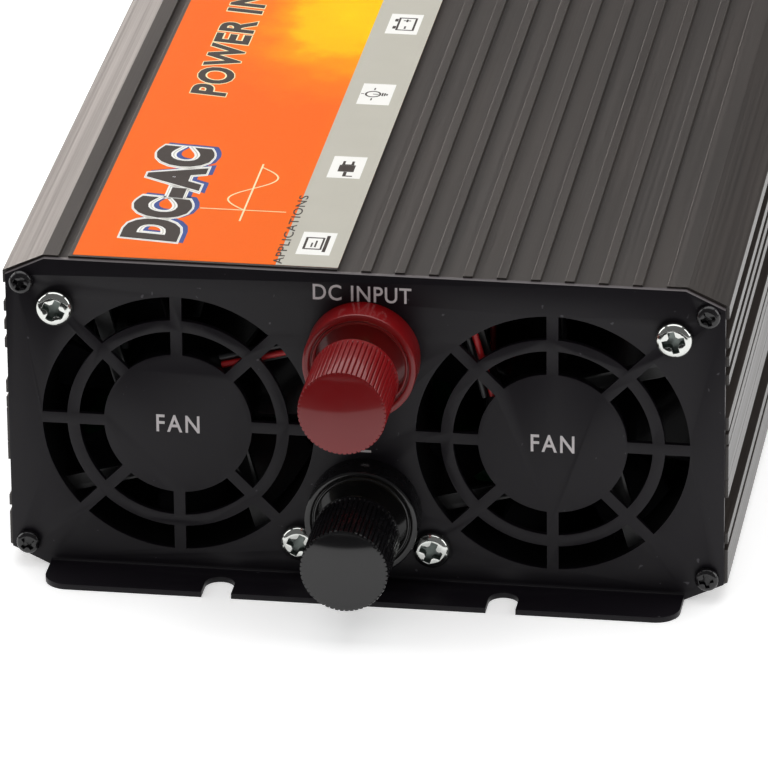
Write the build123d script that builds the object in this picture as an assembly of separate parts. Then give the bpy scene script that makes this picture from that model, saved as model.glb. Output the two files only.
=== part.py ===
from build123d import *
import math
import os

# Mains power inverter, 1.5 kW class: a two-piece aluminium extrusion closed by two black steel end panels.
# X runs across the width, Y along the extrusion with the DC end at -Y, Z up.
# The origin is the middle of the underside. All sizes are in millimetres.

# ---------------------------------------------------------------- casing
PANEL_WIDTH = 148.2
PANEL_HEIGHT = 69.0
PANEL_THICKNESS = 1.2
PANEL_CHAMFER_X = 8.1
PANEL_CHAMFER_Z = 3.85
FLANGE_DEPTH = 11.6
FLANGE_CORNER_RADIUS = 5.0
BEND_RADIUS = 0.6
NOTCH_RADIUS = 3.1
NOTCH_SETBACK = 7.0
NOTCH_SPACING = 59.0

HOUSING_LENGTH = 320.0
HOUSING_OVERHANG = 0.7
HOUSING_RISE = 0.4
WALL_SIDE = 4.9
WALL_TOP = 2.0
WALL_BOTTOM = 2.5
SEAM_HEIGHT = 27.0
SEAM_GAP = 0.1
TONGUE_WIDTH = 1.5
TONGUE_HEIGHT = 2.5
TONGUE_CLEARANCE = 0.1
BOSS_RADIUS = 2.5
DIE_RADIUS = 0.1

RIB_WIDTH = 2.0
RIB_PITCH = 6.95
RIB_HEIGHT = 0.9
RIB_COUNT = 9
EDGE_STRIP_WIDTH = 4.3
EDGE_GROOVE_WIDTH = 2.0
LABEL_MARGIN_OUTER = 0.8
LABEL_MARGIN_END = 0.8
LABEL_THICKNESS = 0.15

# Side grooves of the upper shell: distance down from the top to each groove's top and bottom, and its depth.
UPPER_GROOVES = [(6.6, 10.8, 3.0), (13.0, 14.9, 2.2), (17.1, 19.0, 2.2), (21.2, 28.5, 3.0), (31.3, 32.2, 1.2)]
# Side grooves of the lower shell: height of each groove's bottom and top, and its depth.
LOWER_GROOVES = [(15.0, 23.0, 3.0), (11.2, 12.6, 2.0)]
HAIRLINE_DROP = 34.5
HAIRLINE_WIDTH = 0.35
HAIRLINE_DEPTH = 0.5

# ---------------------------------------------------------------- screws
CORNER_SCREW_RADIUS = 1.25
CORNER_SCREW_LENGTH = 9.0
CORNER_HEAD_RADIUS = 2.5
CORNER_HEAD_HEIGHT = 1.7
CORNER_SCREW_INSET_X = 3.4
CORNER_SCREW_INSET_Z = 5.2
FAN_SCREW_RADIUS = 2.0
FAN_SCREW_LENGTH = 10.0
FAN_HEAD_RADIUS = 3.9
FAN_HEAD_HEIGHT = 2.5
FAN_SCREW_TURNS = (-26, -25, 15, -22)
CORNER_SCREW_TURNS = (40, -28, 12, 20)
EARTH_HEAD_RADIUS = 4.6
EARTH_HEAD_HEIGHT = 3.0
EARTH_SCREW_LENGTH = 14.0
RECESS_REACH = 0.6
RECESS_HALF_WIDTH = 0.18
RECESS_DEPTH = 0.75
NUT_THICKNESS = 3.2
SCREW_CLEARANCE = 0.15
THREAD_CLEARANCE = 0.05

# ---------------------------------------------------------------- fans
FAN_SIZE = 60.0
FAN_DEPTH = 25.0
FAN_HOLE_PITCH = 50.0
FAN_FLANGE = 4.0
FAN_CORNER_RADIUS = 5.0
FAN_DROP = 0.9
FAN_SIDE_CLEARANCE = 1.1
DUCT_RADIUS = 28.7
DUCT_WALL = 1.3
MOTOR_PLATE_RADIUS = 14.6
MOTOR_PLATE_SETBACK = 0.8
MOTOR_PLATE_THICKNESS = 2.4
STRUT_WIDTH = 3.4
STRUT_START = (-12.6, 9.0)
STRUT_END = (-16.9, 24.6)
STRUT_MIDDLE = 6.5
BEARING_TUBE_RADIUS = 4.6
BEARING_TUBE_LENGTH = 14.0
BEARING_RADIUS = 3.4
SHAFT_RADIUS = 1.5
SHAFT_CLEARANCE = 0.03
ROTOR_HUB_RADIUS = 14.4
ROTOR_HUB_WALL = 1.5
ROTOR_START = 4.6
ROTOR_END = 22.0
MAGNET_THICKNESS = 1.6
AIR_GAP = 0.6
STATOR_FIT = 0.05
BLADE_COUNT = 7
BLADE_TIP_CLEARANCE = 0.8
BLADE_CHORD_ROOT = 14.0
BLADE_CHORD_TIP = 17.0
BLADE_PITCH_ROOT = 48.0
BLADE_PITCH_TIP = 30.0
BLADE_THICKNESS = 1.3
LEAD_RADIUS = 0.7
LEAD_SPACING = 1.7
LEAD_BEND = 4.2
LEAD_REACH = 19.0
LEAD_DROP_GAP = 13.0
LEAD_CUT_CLEARANCE = 0.2
CONNECTOR_HEIGHT = 3.5

# ---------------------------------------------------------------- fan grilles in the panel
GRILLE_HUB_RADIUS = 15.4
GRILLE_INNER_SLOT = 5.2
GRILLE_RING_WIDTH = 2.5
GRILLE_OUTER_SLOT = 5.2
GRILLE_SPOKES = 8
SPOKE_WIDTH = 2.4

# ---------------------------------------------------------------- battery terminals
TERMINAL_PITCH = 35.0
TERMINAL_DROP = 0.7
COLLAR_RADIUS = 11.75
COLLAR_DEPTH = 6.8
COLLAR_FLOOR = 2.0
COLLAR_BORE_RADIUS = 9.35
COLLAR_EDGE = 0.35
COLLAR_LIP_WIDTH = 0.5
COLLAR_LIP_DEPTH = 0.3
SPIGOT_RADIUS = 6.0
SPIGOT_CLEARANCE = 0.1
STUD_RADIUS = 4.0
STUD_CLEARANCE = 0.05
WASHER_RADIUS = 8.6
WASHER_THICKNESS = 1.0
WASHER_GAP = 4.7
KNOB_RADIUS = 9.05
KNOB_LENGTH = 18.0
KNOB_FLUTES = 54
FLUTE_DEPTH = 0.5
KNOB_EDGE = 0.25
KNOB_SHOULDER = 1.0
INSERT_RADIUS = 5.6
INSERT_LENGTH = 16.5
KNOB_DOME = 0.8
KNOB_SEAT_GAP = 0.02
STUD_TIP_CLEARANCE = 0.5
BUSHING_RADIUS = 8.2
BUSHING_THICKNESS = 4.0
STUD_NUT_FLATS = 13.0
STUD_NUT_THICKNESS = 5.0
BUSBAR_THICKNESS = 2.0
BUSBAR_WIDTH = 15.0
BUSBAR_BEND = 3.0
BUSBAR_TAIL = 8.0
POSITIVE_FOOT = 9.0
NEGATIVE_FOOT = 4.0
BUSBAR_ARM = 11.5

# ---------------------------------------------------------------- electronics
BOARD_SIDE_GAP = 1.9
BOARD_THICKNESS = 1.6
BOARD_START_GAP = 33.0
BOARD_END_GAP = 24.0
STANDOFF_HEIGHT = 6.0
STANDOFF_RADIUS = 3.0
BOARD_SCREW_RADIUS = 1.5
STANDOFF_INSET = 20.0
INPUT_CAP_RADIUS = 8.0
INPUT_CAP_HEIGHT = 31.5
INPUT_CAP_COUNT = 6
INPUT_CAP_PITCH = 18.0
FUSE_COUNT = 6
FUSE_PITCH = 16.0
FUSE_LENGTH = 9.0
FUSE_SETBACK = 20.0
TRANSFORMER_X = 46.0
TRANSFORMER_Y = 42.0
TRANSFORMER_Z = 38.0
TRANSFORMER_LEG = 9.0
TRANSFORMER_OVERHANG = 8.0
PART_GAP = 4.0
BUS_CAP_RADIUS = 15.0
BUS_CAP_HEIGHT = 42.0
TRANSISTOR_WIDTH = 10.2
LEG_PITCH = 2.54
LEG_WIDTH = 0.8
TRANSISTOR_BODY = 4.5
TRANSISTOR_HEIGHT = 15.0
TRANSISTOR_LIFT = 1.2
TRANSISTOR_PITCH = 15.0
LOW_SIDE_COUNT = 12
HIGH_SIDE_COUNT = 8
PAD_THICKNESS = 0.3
CLAMP_THICKNESS = 2.5
CLAMP_HEIGHT = 6.0
CHOKE_OUTER_RADIUS = 19.0
CHOKE_INNER_RADIUS = 10.0
CHOKE_HEIGHT = 15.0
CHOKE_TURNS = 26
CHOKE_WIRE_RADIUS = 0.9

# ---------------------------------------------------------------- mains end
OUTLET_WIDTH = 37.0
OUTLET_HEIGHT = 30.0
OUTLET_LIP = 2.2
OUTLET_BODY_INSET = 1.8
OUTLET_DEPTH = 22.0
OUTLET_SPACING = 39.0
OUTLET_CENTRE_X = -31.0
OUTLET_RAISE = 10.5
OUTLET_SLOT_DEPTH = 16.0
LIVE_SLOT = (1.9, 6.9)
NEUTRAL_SLOT = (1.9, 8.3)
SLOT_SPACING = 12.7
EARTH_HOLE_RADIUS = 2.5
EARTH_HOLE_DROP = 11.9
MAINS_LEAD_RADIUS = 1.1
MAINS_LEAD_RUN = 14.0
MAINS_LEAD_BEND = 6.6
VENT_WIDTH = 3.0
VENT_HEIGHT = 11.0
VENT_PITCH = 6.2
VENT_COUNT = 12
VENT_CENTRE_Z = 13.5
SWITCH_X = 45.0
SWITCH_WIDTH = 15.0
SWITCH_HEIGHT = 21.0
SWITCH_BEZEL = 2.0
SWITCH_WALL = 1.6
SWITCH_DEPTH = 14.0
ROCKER_GAP = 0.35
ROCKER_TILT = 10.0
ROCKER_RADIUS = 7.6
PIVOT_RADIUS = 1.2
PIVOT_CLEARANCE = 0.05
LED_RADIUS = 2.5
LED_SPACING = 14.0
EARTH_SCREW_RADIUS = 2.5
EARTH_SCREW_X = 62.0
EARTH_NUT_WIDTH = 8.0
EARTH_NUT_HEIGHT = 4.0
EARTH_LUG_GAP = 1.0

# ---------------------------------------------------------------- worked-out places
HALF_LENGTH = HOUSING_LENGTH / 2
DC_FACE = -HALF_LENGTH - PANEL_THICKNESS
AC_FACE = HALF_LENGTH + PANEL_THICKNESS
HALF_WIDTH = PANEL_WIDTH / 2 + HOUSING_OVERHANG
HOUSING_TOP = PANEL_HEIGHT + HOUSING_RISE
CHAMFER_X = PANEL_CHAMFER_X + HOUSING_OVERHANG / 2
CHAMFER_Z = PANEL_CHAMFER_Z
TOP_EDGE_X = HALF_WIDTH - CHAMFER_X
TOP_FLOOR = HOUSING_TOP - RIB_HEIGHT
INNER_HALF = HALF_WIDTH - WALL_SIDE
INNER_TOP = TOP_FLOOR - WALL_TOP
FAN_X = INNER_HALF - FAN_SIDE_CLEARANCE - FAN_SIZE / 2
FAN_Z = PANEL_HEIGHT / 2 - FAN_DROP
RIGHT_GROOVES_END = TOP_EDGE_X - EDGE_STRIP_WIDTH
PLATEAU_RIGHT = RIGHT_GROOVES_END - RIB_COUNT * RIB_PITCH - (RIB_PITCH - RIB_WIDTH)
PLATEAU_LEFT = -RIGHT_GROOVES_END + EDGE_GROOVE_WIDTH - 1.0
SCREW_X = PANEL_WIDTH / 2 - CORNER_SCREW_INSET_X
SCREW_Z_LOW = CORNER_SCREW_INSET_Z
SCREW_Z_HIGH = PANEL_HEIGHT - CORNER_SCREW_INSET_Z
TERMINAL_MIDDLE = PANEL_HEIGHT / 2 - TERMINAL_DROP
TERMINAL_Z = {"red": TERMINAL_MIDDLE + TERMINAL_PITCH / 2, "black": TERMINAL_MIDDLE - TERMINAL_PITCH / 2}
BOARD_BOTTOM = WALL_BOTTOM + STANDOFF_HEIGHT
BOARD_TOP = BOARD_BOTTOM + BOARD_THICKNESS
BOARD_WIDTH = 2 * (INNER_HALF - BOARD_SIDE_GAP)
BOARD_START = -HALF_LENGTH + BOARD_START_GAP
BOARD_END = HALF_LENGTH - BOARD_END_GAP

parts = {}


# ---------------------------------------------------------------- small helpers
def block(x0, x1, y0, y1, z0, z1):
    """A box between two corners."""
    return Pos((x0 + x1) / 2, (y0 + y1) / 2, (z0 + z1) / 2) * Box(x1 - x0, y1 - y0, z1 - z0)


def rod_y(radius, y0, y1, x=0.0, z=0.0):
    """A round bar along Y."""
    return Pos(x, (y0 + y1) / 2, z) * Cylinder(radius, y1 - y0, rotation=(90, 0, 0))


def rod_z(radius, z0, z1, x=0.0, y=0.0):
    """A round bar along Z."""
    return Pos(x, y, (z0 + z1) / 2) * Cylinder(radius, z1 - z0)


def rod_x(radius, x0, x1, y=0.0, z=0.0):
    """A round bar along X."""
    return Pos((x0 + x1) / 2, y, z) * Cylinder(radius, x1 - x0, rotation=(0, 90, 0))


def prism_y(face, y0, y1):
    """A flat X-Z outline carried along Y from y0 to y1."""
    return extrude(Plane.XZ.offset(-y1) * face, amount=y1 - y0)


def spin_y(shape, angle, x=0.0, z=0.0):
    """A shape built about the Y axis, turned by angle (seen from -Y, anticlockwise) and moved."""
    return Pos(x, 0, z) * Rot(0, -angle, 0) * shape


def cord(points, radii, radius):
    """A round lead along straight runs joined by arcs."""
    path = FilletPolyline(*points, radius=radii)
    section = Plane(origin=path.position_at(0), z_dir=path.tangent_at(0)) * Circle(radius)
    return sweep(section, path=path)


def add(name, shape):
    """Keep a finished node: one solid, or a group of separate solids."""
    solids = shape if isinstance(shape, list) else [shape]
    flat = [solid for item in solids for solid in item.solids()]
    parts[name] = flat[0] if len(flat) == 1 else Compound(children=flat)


def outline(half_width, height, chamfer_x, chamfer_z):
    """The eight-cornered end outline, standing on Z = 0."""
    w, h = half_width, height
    points = [
        (-w + chamfer_x, 0), (w - chamfer_x, 0), (w, chamfer_z), (w, h - chamfer_z),
        (w - chamfer_x, h), (-w + chamfer_x, h), (-w, h - chamfer_z), (-w, chamfer_z),
    ]
    return make_face(Polyline(*points, close=True))


# ---------------------------------------------------------------- casing
def extrusion():
    """Both shells as one profile, before the seam divides it."""
    skin = outline(HALF_WIDTH, HOUSING_TOP, CHAMFER_X, CHAMFER_Z)
    bay = Pos(0, (WALL_BOTTOM + INNER_TOP) / 2) * Rectangle(2 * INNER_HALF, INNER_TOP - WALL_BOTTOM)
    bay = fillet(bay.vertices(), 2.0)
    profile = skin - bay
    for side in (-1, 1):
        for z in (SCREW_Z_LOW, SCREW_Z_HIGH):
            profile += Pos(side * SCREW_X, z) * Circle(BOSS_RADIUS) & skin
    for side in (-1, 1):
        for z in (SCREW_Z_LOW, SCREW_Z_HIGH):
            profile -= Pos(side * SCREW_X, z) * Circle(CORNER_SCREW_RADIUS + THREAD_CLEARANCE)
        for low, high, depth in side_grooves():
            centre = side * (HALF_WIDTH - depth / 2 + 1)
            profile -= Pos(centre, (low + high) / 2) * Rectangle(depth + 2, high - low)
    for left, right in top_grooves():
        centre = HOUSING_TOP - RIB_HEIGHT / 2 + 1
        profile -= Pos((left + right) / 2, centre) * Rectangle(right - left, RIB_HEIGHT + 2)
    return profile


def outer_corners(profile):
    """The corners on a shell's outside that the extrusion die rounds: not the hairline's or the tongue's."""
    hairline = HOUSING_TOP - HAIRLINE_DROP - HAIRLINE_WIDTH / 2
    seam = SEAM_HEIGHT + TONGUE_HEIGHT / 2
    corners = []
    for corner in profile.vertices():
        x, z = abs(corner.X), corner.Y
        outside = x > INNER_HALF + BOSS_RADIUS / 2 or z > TOP_FLOOR - 0.1 or z < 0.1
        on_hole = math.hypot(x - SCREW_X, min(abs(z - SCREW_Z_LOW), abs(z - SCREW_Z_HIGH))) < BOSS_RADIUS
        on_hairline = abs(z - hairline) < HAIRLINE_WIDTH
        on_tongue = abs(z - seam) < TONGUE_HEIGHT and x < HALF_WIDTH - 0.1
        if outside and not (on_hole or on_hairline or on_tongue):
            corners.append(corner)
    return corners


def side_grooves():
    """Height of each side groove's bottom and top, and its depth."""
    grooves = list(LOWER_GROOVES)
    grooves += [(HOUSING_TOP - low, HOUSING_TOP - high, depth) for high, low, depth in UPPER_GROOVES]
    hairline = HOUSING_TOP - HAIRLINE_DROP
    grooves.append((hairline - HAIRLINE_WIDTH, hairline, HAIRLINE_DEPTH))
    return grooves


def top_grooves():
    """Left and right edge of each groove in the top."""
    grooves = [(-RIGHT_GROOVES_END - 1.0, PLATEAU_LEFT)]
    for index in range(RIB_COUNT + 1):
        left = PLATEAU_RIGHT + index * RIB_PITCH
        grooves.append((left, left + RIB_PITCH - RIB_WIDTH))
    return grooves


def housings():
    """The upper and lower shells, which slide together on a tongue in each side wall."""
    profile = extrusion()
    wide = 2 * HALF_WIDTH + 10
    tall = PANEL_HEIGHT * 2
    below = Pos(0, SEAM_HEIGHT - SEAM_GAP / 2 - tall / 2) * Rectangle(wide, tall)
    above = Pos(0, SEAM_HEIGHT + SEAM_GAP / 2 + tall / 2) * Rectangle(wide, tall)
    lower = profile & below
    upper = profile & above
    tongue_x = HALF_WIDTH - WALL_SIDE / 2
    root = SEAM_HEIGHT - SEAM_GAP / 2
    for side in (-1, 1):
        tongue = Pos(side * tongue_x, root + TONGUE_HEIGHT / 2) * Rectangle(TONGUE_WIDTH, TONGUE_HEIGHT)
        lower += tongue
        slot_height = TONGUE_HEIGHT + TONGUE_CLEARANCE
        slot = Pos(side * tongue_x, root + slot_height / 2) * Rectangle(
            TONGUE_WIDTH + 2 * TONGUE_CLEARANCE, slot_height
        )
        upper -= slot
    upper = fillet(outer_corners(upper), DIE_RADIUS)
    lower = fillet(outer_corners(lower), DIE_RADIUS)
    upper = prism_y(upper, -HALF_LENGTH, HALF_LENGTH)
    lower = prism_y(lower, -HALF_LENGTH, HALF_LENGTH)
    thread = BOARD_SCREW_RADIUS + THREAD_CLEARANCE
    for x, y in standoff_places():
        lower -= rod_z(thread, 1.0, WALL_BOTTOM + 1, x, y)
    for side, places in (("left", LOW_SIDE_COUNT), ("right", HIGH_SIDE_COUNT)):
        sign = -1 if side == "left" else 1
        for y in clamp_screw_places(places):
            hole = rod_x(thread, INNER_HALF - 1, INNER_HALF + 1.6, y, clamp_height())
            lower -= hole if sign > 0 else mirror(hole, about=Plane.YZ)
    add("upper_housing", upper)
    add("lower_housing", lower)


def label():
    """The printed film on the flat of the top."""
    left = PLATEAU_LEFT + LABEL_MARGIN_OUTER
    end = HALF_LENGTH - LABEL_MARGIN_END
    add("top_label", block(left, PLATEAU_RIGHT, -end, end, HOUSING_TOP, HOUSING_TOP + LABEL_THICKNESS))


def panel_blank():
    """A folded end panel with its foot flange, built for the DC end: the sheet lies behind Y = DC_FACE."""
    shape = outline(PANEL_WIDTH / 2, PANEL_HEIGHT, PANEL_CHAMFER_X, PANEL_CHAMFER_Z)
    sheet = prism_y(shape, DC_FACE, DC_FACE + PANEL_THICKNESS)
    foot_half = PANEL_WIDTH / 2 - PANEL_CHAMFER_X
    foot = block(-foot_half, foot_half, DC_FACE - FLANGE_DEPTH, DC_FACE + 0.1, 0, PANEL_THICKNESS)
    front_corners = foot.edges().filter_by(Axis.Z).group_by(Axis.Y)[0]
    foot = fillet(front_corners, FLANGE_CORNER_RADIUS)
    for side in (-1, 1):
        foot -= notch_cut(side * NOTCH_SPACING / 2)
    blank = sheet + foot
    crease = (
        blank.edges()
        .filter_by(Axis.X)
        .filter_by_position(Axis.Y, DC_FACE - 0.01, DC_FACE + 0.01)
        .filter_by_position(Axis.Z, PANEL_THICKNESS - 0.01, PANEL_THICKNESS + 0.01)
    )
    return fillet(crease, BEND_RADIUS)


def notch_cut(x):
    """An open screw notch through the foot flange."""
    centre = DC_FACE - NOTCH_SETBACK
    slot = rod_z(NOTCH_RADIUS, -1, PANEL_THICKNESS + 1, x, centre)
    left, right = x - NOTCH_RADIUS, x + NOTCH_RADIUS
    return slot + block(left, right, centre - FLANGE_DEPTH, centre, -1, PANEL_THICKNESS + 1)


def corner_places():
    """X and Z of the four panel screws."""
    return [(side * SCREW_X, z) for side in (-1, 1) for z in (SCREW_Z_LOW, SCREW_Z_HIGH)]


def grille_slots():
    """One fan's air slots: two rings of slots between eight spokes."""
    inner = GRILLE_HUB_RADIUS + GRILLE_INNER_SLOT
    ring = inner + GRILLE_RING_WIDTH
    outer = ring + GRILLE_OUTER_SLOT
    slots = (Circle(outer) - Circle(ring)) + (Circle(inner) - Circle(GRILLE_HUB_RADIUS))
    for index in range(GRILLE_SPOKES // 2):
        slots -= Rot(0, 0, index * 360 / GRILLE_SPOKES) * Rectangle(3 * outer, SPOKE_WIDTH)
    return slots


def dc_end_panel():
    """The DC end panel: two punched fan grilles and two terminal holes."""
    panel = panel_blank()
    for side in (-1, 1):
        slots = Pos(side * FAN_X, FAN_Z) * grille_slots()
        panel -= prism_y(slots, DC_FACE - 1, DC_FACE + PANEL_THICKNESS + 1)
    for side, x, z in fan_screw_places():
        panel -= rod_y(FAN_SCREW_RADIUS + SCREW_CLEARANCE, DC_FACE - 1, -HALF_LENGTH + 1, x, z)
    for x, z in corner_places():
        panel -= rod_y(CORNER_SCREW_RADIUS + SCREW_CLEARANCE, DC_FACE - 1, -HALF_LENGTH + 1, x, z)
    for z in TERMINAL_Z.values():
        panel -= rod_y(SPIGOT_RADIUS + SPIGOT_CLEARANCE, DC_FACE - 1, -HALF_LENGTH + 1, 0, z)
    add("dc_end_panel", panel)


def outlet_places():
    """X and Z of the two mains outlets."""
    z = PANEL_HEIGHT / 2 + OUTLET_RAISE
    return {
        "left": (OUTLET_CENTRE_X - OUTLET_SPACING / 2, z),
        "right": (OUTLET_CENTRE_X + OUTLET_SPACING / 2, z),
    }


def switch_height():
    return PANEL_HEIGHT / 2 + OUTLET_RAISE


def led_places():
    """X and Z of the power and fault lights."""
    z = switch_height() - SWITCH_HEIGHT / 2 - LED_RADIUS - 7
    return [(SWITCH_X - LED_SPACING / 2, z), (SWITCH_X + LED_SPACING / 2, z)]


def ac_end_panel():
    """The mains end panel: outlets, switch, lights, earth screw and air slots."""
    panel = mirror(panel_blank(), about=Plane.XZ)
    start, stop = HALF_LENGTH - 1, AC_FACE + 1
    for x, z in outlet_places().values():
        inset = OUTLET_BODY_INSET - 0.1
        half_w, half_h = OUTLET_WIDTH / 2 - inset, OUTLET_HEIGHT / 2 - inset
        panel -= block(x - half_w, x + half_w, start, stop, z - half_h, z + half_h)
    half_w, half_h = SWITCH_WIDTH / 2 - SWITCH_BEZEL / 2, SWITCH_HEIGHT / 2 - SWITCH_BEZEL / 2
    z = switch_height()
    panel -= block(SWITCH_X - half_w, SWITCH_X + half_w, start, stop, z - half_h, z + half_h)
    for x, z in led_places():
        panel -= rod_y(LED_RADIUS + 0.1, start, stop, x, z)
    panel -= rod_y(EARTH_SCREW_RADIUS + SCREW_CLEARANCE, start, stop, EARTH_SCREW_X, VENT_CENTRE_Z)
    for index in range(VENT_COUNT):
        x = OUTLET_CENTRE_X + (index - (VENT_COUNT - 1) / 2) * VENT_PITCH
        slot = Pos(x, VENT_CENTRE_Z) * SlotCenterToCenter(VENT_HEIGHT - VENT_WIDTH, VENT_WIDTH, rotation=90)
        panel -= prism_y(slot, start, stop)
    for x, z in corner_places():
        panel -= rod_y(CORNER_SCREW_RADIUS + SCREW_CLEARANCE, start, stop, x, z)
    add("ac_end_panel", panel)


# ---------------------------------------------------------------- screws and nuts
def pan_screw(head_radius, head_height, shank_radius, shank_length):
    """A cross-recess pan-head screw along +Y, with the underside of its head at Y = 0."""
    head = rod_y(head_radius, -head_height, 0)
    rim = head.edges().filter_by(GeomType.CIRCLE).group_by(Axis.Y)[0]
    head = fillet(rim, head_height * 0.62)
    arm = head_radius * RECESS_REACH
    thin = head_radius * RECESS_HALF_WIDTH
    depth = head_height * RECESS_DEPTH
    recess = block(-arm, arm, -head_height - 1, -head_height + depth, -thin, thin)
    recess += block(-thin, thin, -head_height - 1, -head_height + depth, -arm, arm)
    recess += rod_y(thin * 1.9, -head_height - 1, -head_height + depth)
    shank = rod_y(shank_radius, -0.01, shank_length)
    return head - recess + shank


def hex_nut(flats, thickness, bore):
    """A hexagon nut along Y, starting at Y = 0."""
    body = prism_y(RegularPolygon(flats / 2, 6, major_radius=False), 0, thickness)
    return body - rod_y(bore, -1, thickness + 1)


def panel_screws():
    """The four corner screws of each end panel."""
    screw = pan_screw(CORNER_HEAD_RADIUS, CORNER_HEAD_HEIGHT, CORNER_SCREW_RADIUS, CORNER_SCREW_LENGTH)
    places = zip(CORNER_SCREW_TURNS, corner_places())
    front = [Pos(0, DC_FACE, 0) * spin_y(screw, turn, x, z) for turn, (x, z) in places]
    rear = [mirror(item, about=Plane.XZ) for item in front]
    add("dc_panel_screws", front)
    add("ac_panel_screws", rear)


def fan_screw_places():
    """Each fan has two screws on a diagonal; the two fans mirror each other."""
    half = FAN_HOLE_PITCH / 2
    places = []
    for side in (-1, 1):
        places.append((side, side * (FAN_X + half), FAN_Z + half))
        places.append((side, side * (FAN_X - half), FAN_Z - half))
    return places


def fan_fasteners():
    """The four bright fan screws with their nuts."""
    screw = pan_screw(FAN_HEAD_RADIUS, FAN_HEAD_HEIGHT, FAN_SCREW_RADIUS, FAN_SCREW_LENGTH)
    nut = hex_nut(7.0, NUT_THICKNESS, FAN_SCREW_RADIUS + THREAD_CLEARANCE)
    seat = -HALF_LENGTH + FAN_FLANGE
    places = zip(FAN_SCREW_TURNS, fan_screw_places())
    add("fan_screws", [Pos(0, DC_FACE, 0) * spin_y(screw, turn, x, z) for turn, (side, x, z) in places])
    add("fan_nuts", [Pos(x, seat, z) * nut for side, x, z in fan_screw_places()])


# ---------------------------------------------------------------- fans
def fan_frame():
    """A fan's frame about its own axis, with its front face at Y = 0."""
    square = RectangleRounded(FAN_SIZE, FAN_SIZE, FAN_CORNER_RADIUS)
    frame = prism_y(square, 0, FAN_FLANGE) + prism_y(square, FAN_DEPTH - FAN_FLANGE, FAN_DEPTH)
    frame += rod_y(DUCT_RADIUS + DUCT_WALL, 0, FAN_DEPTH)
    frame -= rod_y(DUCT_RADIUS, -1, FAN_DEPTH + 1)
    half = FAN_HOLE_PITCH / 2
    for x in (-half, half):
        for z in (-half, half):
            frame -= rod_y(FAN_SCREW_RADIUS + SCREW_CLEARANCE, -1, FAN_DEPTH + 1, x, z)
    plate_back = MOTOR_PLATE_SETBACK + MOTOR_PLATE_THICKNESS
    frame += rod_y(MOTOR_PLATE_RADIUS, MOTOR_PLATE_SETBACK, plate_back)
    strut = strut_solid()
    for index in range(4):
        frame += spin_y(strut, index * 90)
    frame += rod_y(BEARING_TUBE_RADIUS, plate_back - 0.5, plate_back + BEARING_TUBE_LENGTH)
    frame -= rod_y(BEARING_RADIUS, plate_back + 1, plate_back + BEARING_TUBE_LENGTH + 1)
    x, z = lead_corner(LEAD_SPACING / 2)
    half = LEAD_SPACING + LEAD_RADIUS + LEAD_CUT_CLEARANCE
    edge = FAN_SIZE / 2 + 1
    frame -= block(x - half, x + half, -1, MOTOR_PLATE_SETBACK + LEAD_BEND + 2, z - 5, edge)
    frame -= block(x - half, x + half, FAN_DEPTH - FAN_FLANGE - 1, FAN_DEPTH + 1, z - 1.2, edge)
    return frame


def strut_line():
    """X and Z where the slanting strut that carries the leads starts, and its direction."""
    length = math.dist(STRUT_START, STRUT_END)
    return STRUT_START, tuple((end - start) / length for start, end in zip(STRUT_START, STRUT_END))


def strut_solid():
    """One slanting strut between the motor plate and the duct."""
    (x, z), (dx, dz) = strut_line()
    turn = math.degrees(math.atan2(dz, dx))
    bar = Pos(x + STRUT_MIDDLE * dx, z + STRUT_MIDDLE * dz) * Rot(0, 0, turn)
    bar *= Rectangle(LEAD_REACH + 2, STRUT_WIDTH)
    start = MOTOR_PLATE_SETBACK + 2 * LEAD_RADIUS + 0.5
    stop = MOTOR_PLATE_SETBACK + MOTOR_PLATE_THICKNESS + 0.8
    return prism_y(bar, start, stop) & rod_y(DUCT_RADIUS + 0.5, 0, FAN_DEPTH)


def lead_corner(offset):
    """X and Z where a lead turns back along the outside of the duct."""
    (x, z), (dx, dz) = strut_line()
    return x + LEAD_REACH * dx - offset * dz, z + LEAD_REACH * dz + offset * dx


def blade():
    """One fan blade, reaching out along +X from the hub."""
    tip = DUCT_RADIUS - BLADE_TIP_CLEARANCE
    root = ROTOR_HUB_RADIUS - 1
    middle = (ROTOR_START + ROTOR_END) / 2
    sections = []
    ends = [(root, BLADE_CHORD_ROOT, BLADE_PITCH_ROOT), (tip + 1, BLADE_CHORD_TIP, BLADE_PITCH_TIP)]
    for x, chord, pitch in ends:
        plane = Plane(origin=(x, middle, 0), x_dir=(0, 0, 1), z_dir=(1, 0, 0))
        sections.append(plane * Rot(0, 0, 90 - pitch) * Rectangle(BLADE_THICKNESS, chord))
    raw = loft(sections)
    sweep_space = rod_y(tip, ROTOR_START, ROTOR_END) - rod_y(root + 0.5, ROTOR_START - 1, ROTOR_END + 1)
    return raw & sweep_space


def impeller():
    """Hub cup and blades as one moulding."""
    cup = rod_y(ROTOR_HUB_RADIUS, ROTOR_START, ROTOR_END)
    cup = fillet(cup.edges().filter_by(GeomType.CIRCLE).group_by(Axis.Y)[-1], 1.2)
    cup -= rod_y(ROTOR_HUB_RADIUS - ROTOR_HUB_WALL, ROTOR_START - 1, ROTOR_END - 2)
    cup += rod_y(3.2, ROTOR_END - 4, ROTOR_END - 1.9)
    cup -= rod_y(SHAFT_RADIUS, ROTOR_START, ROTOR_END - 0.6)
    wing = blade()
    for index in range(BLADE_COUNT):
        cup += spin_y(wing, index * 360 / BLADE_COUNT)
    return cup


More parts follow.
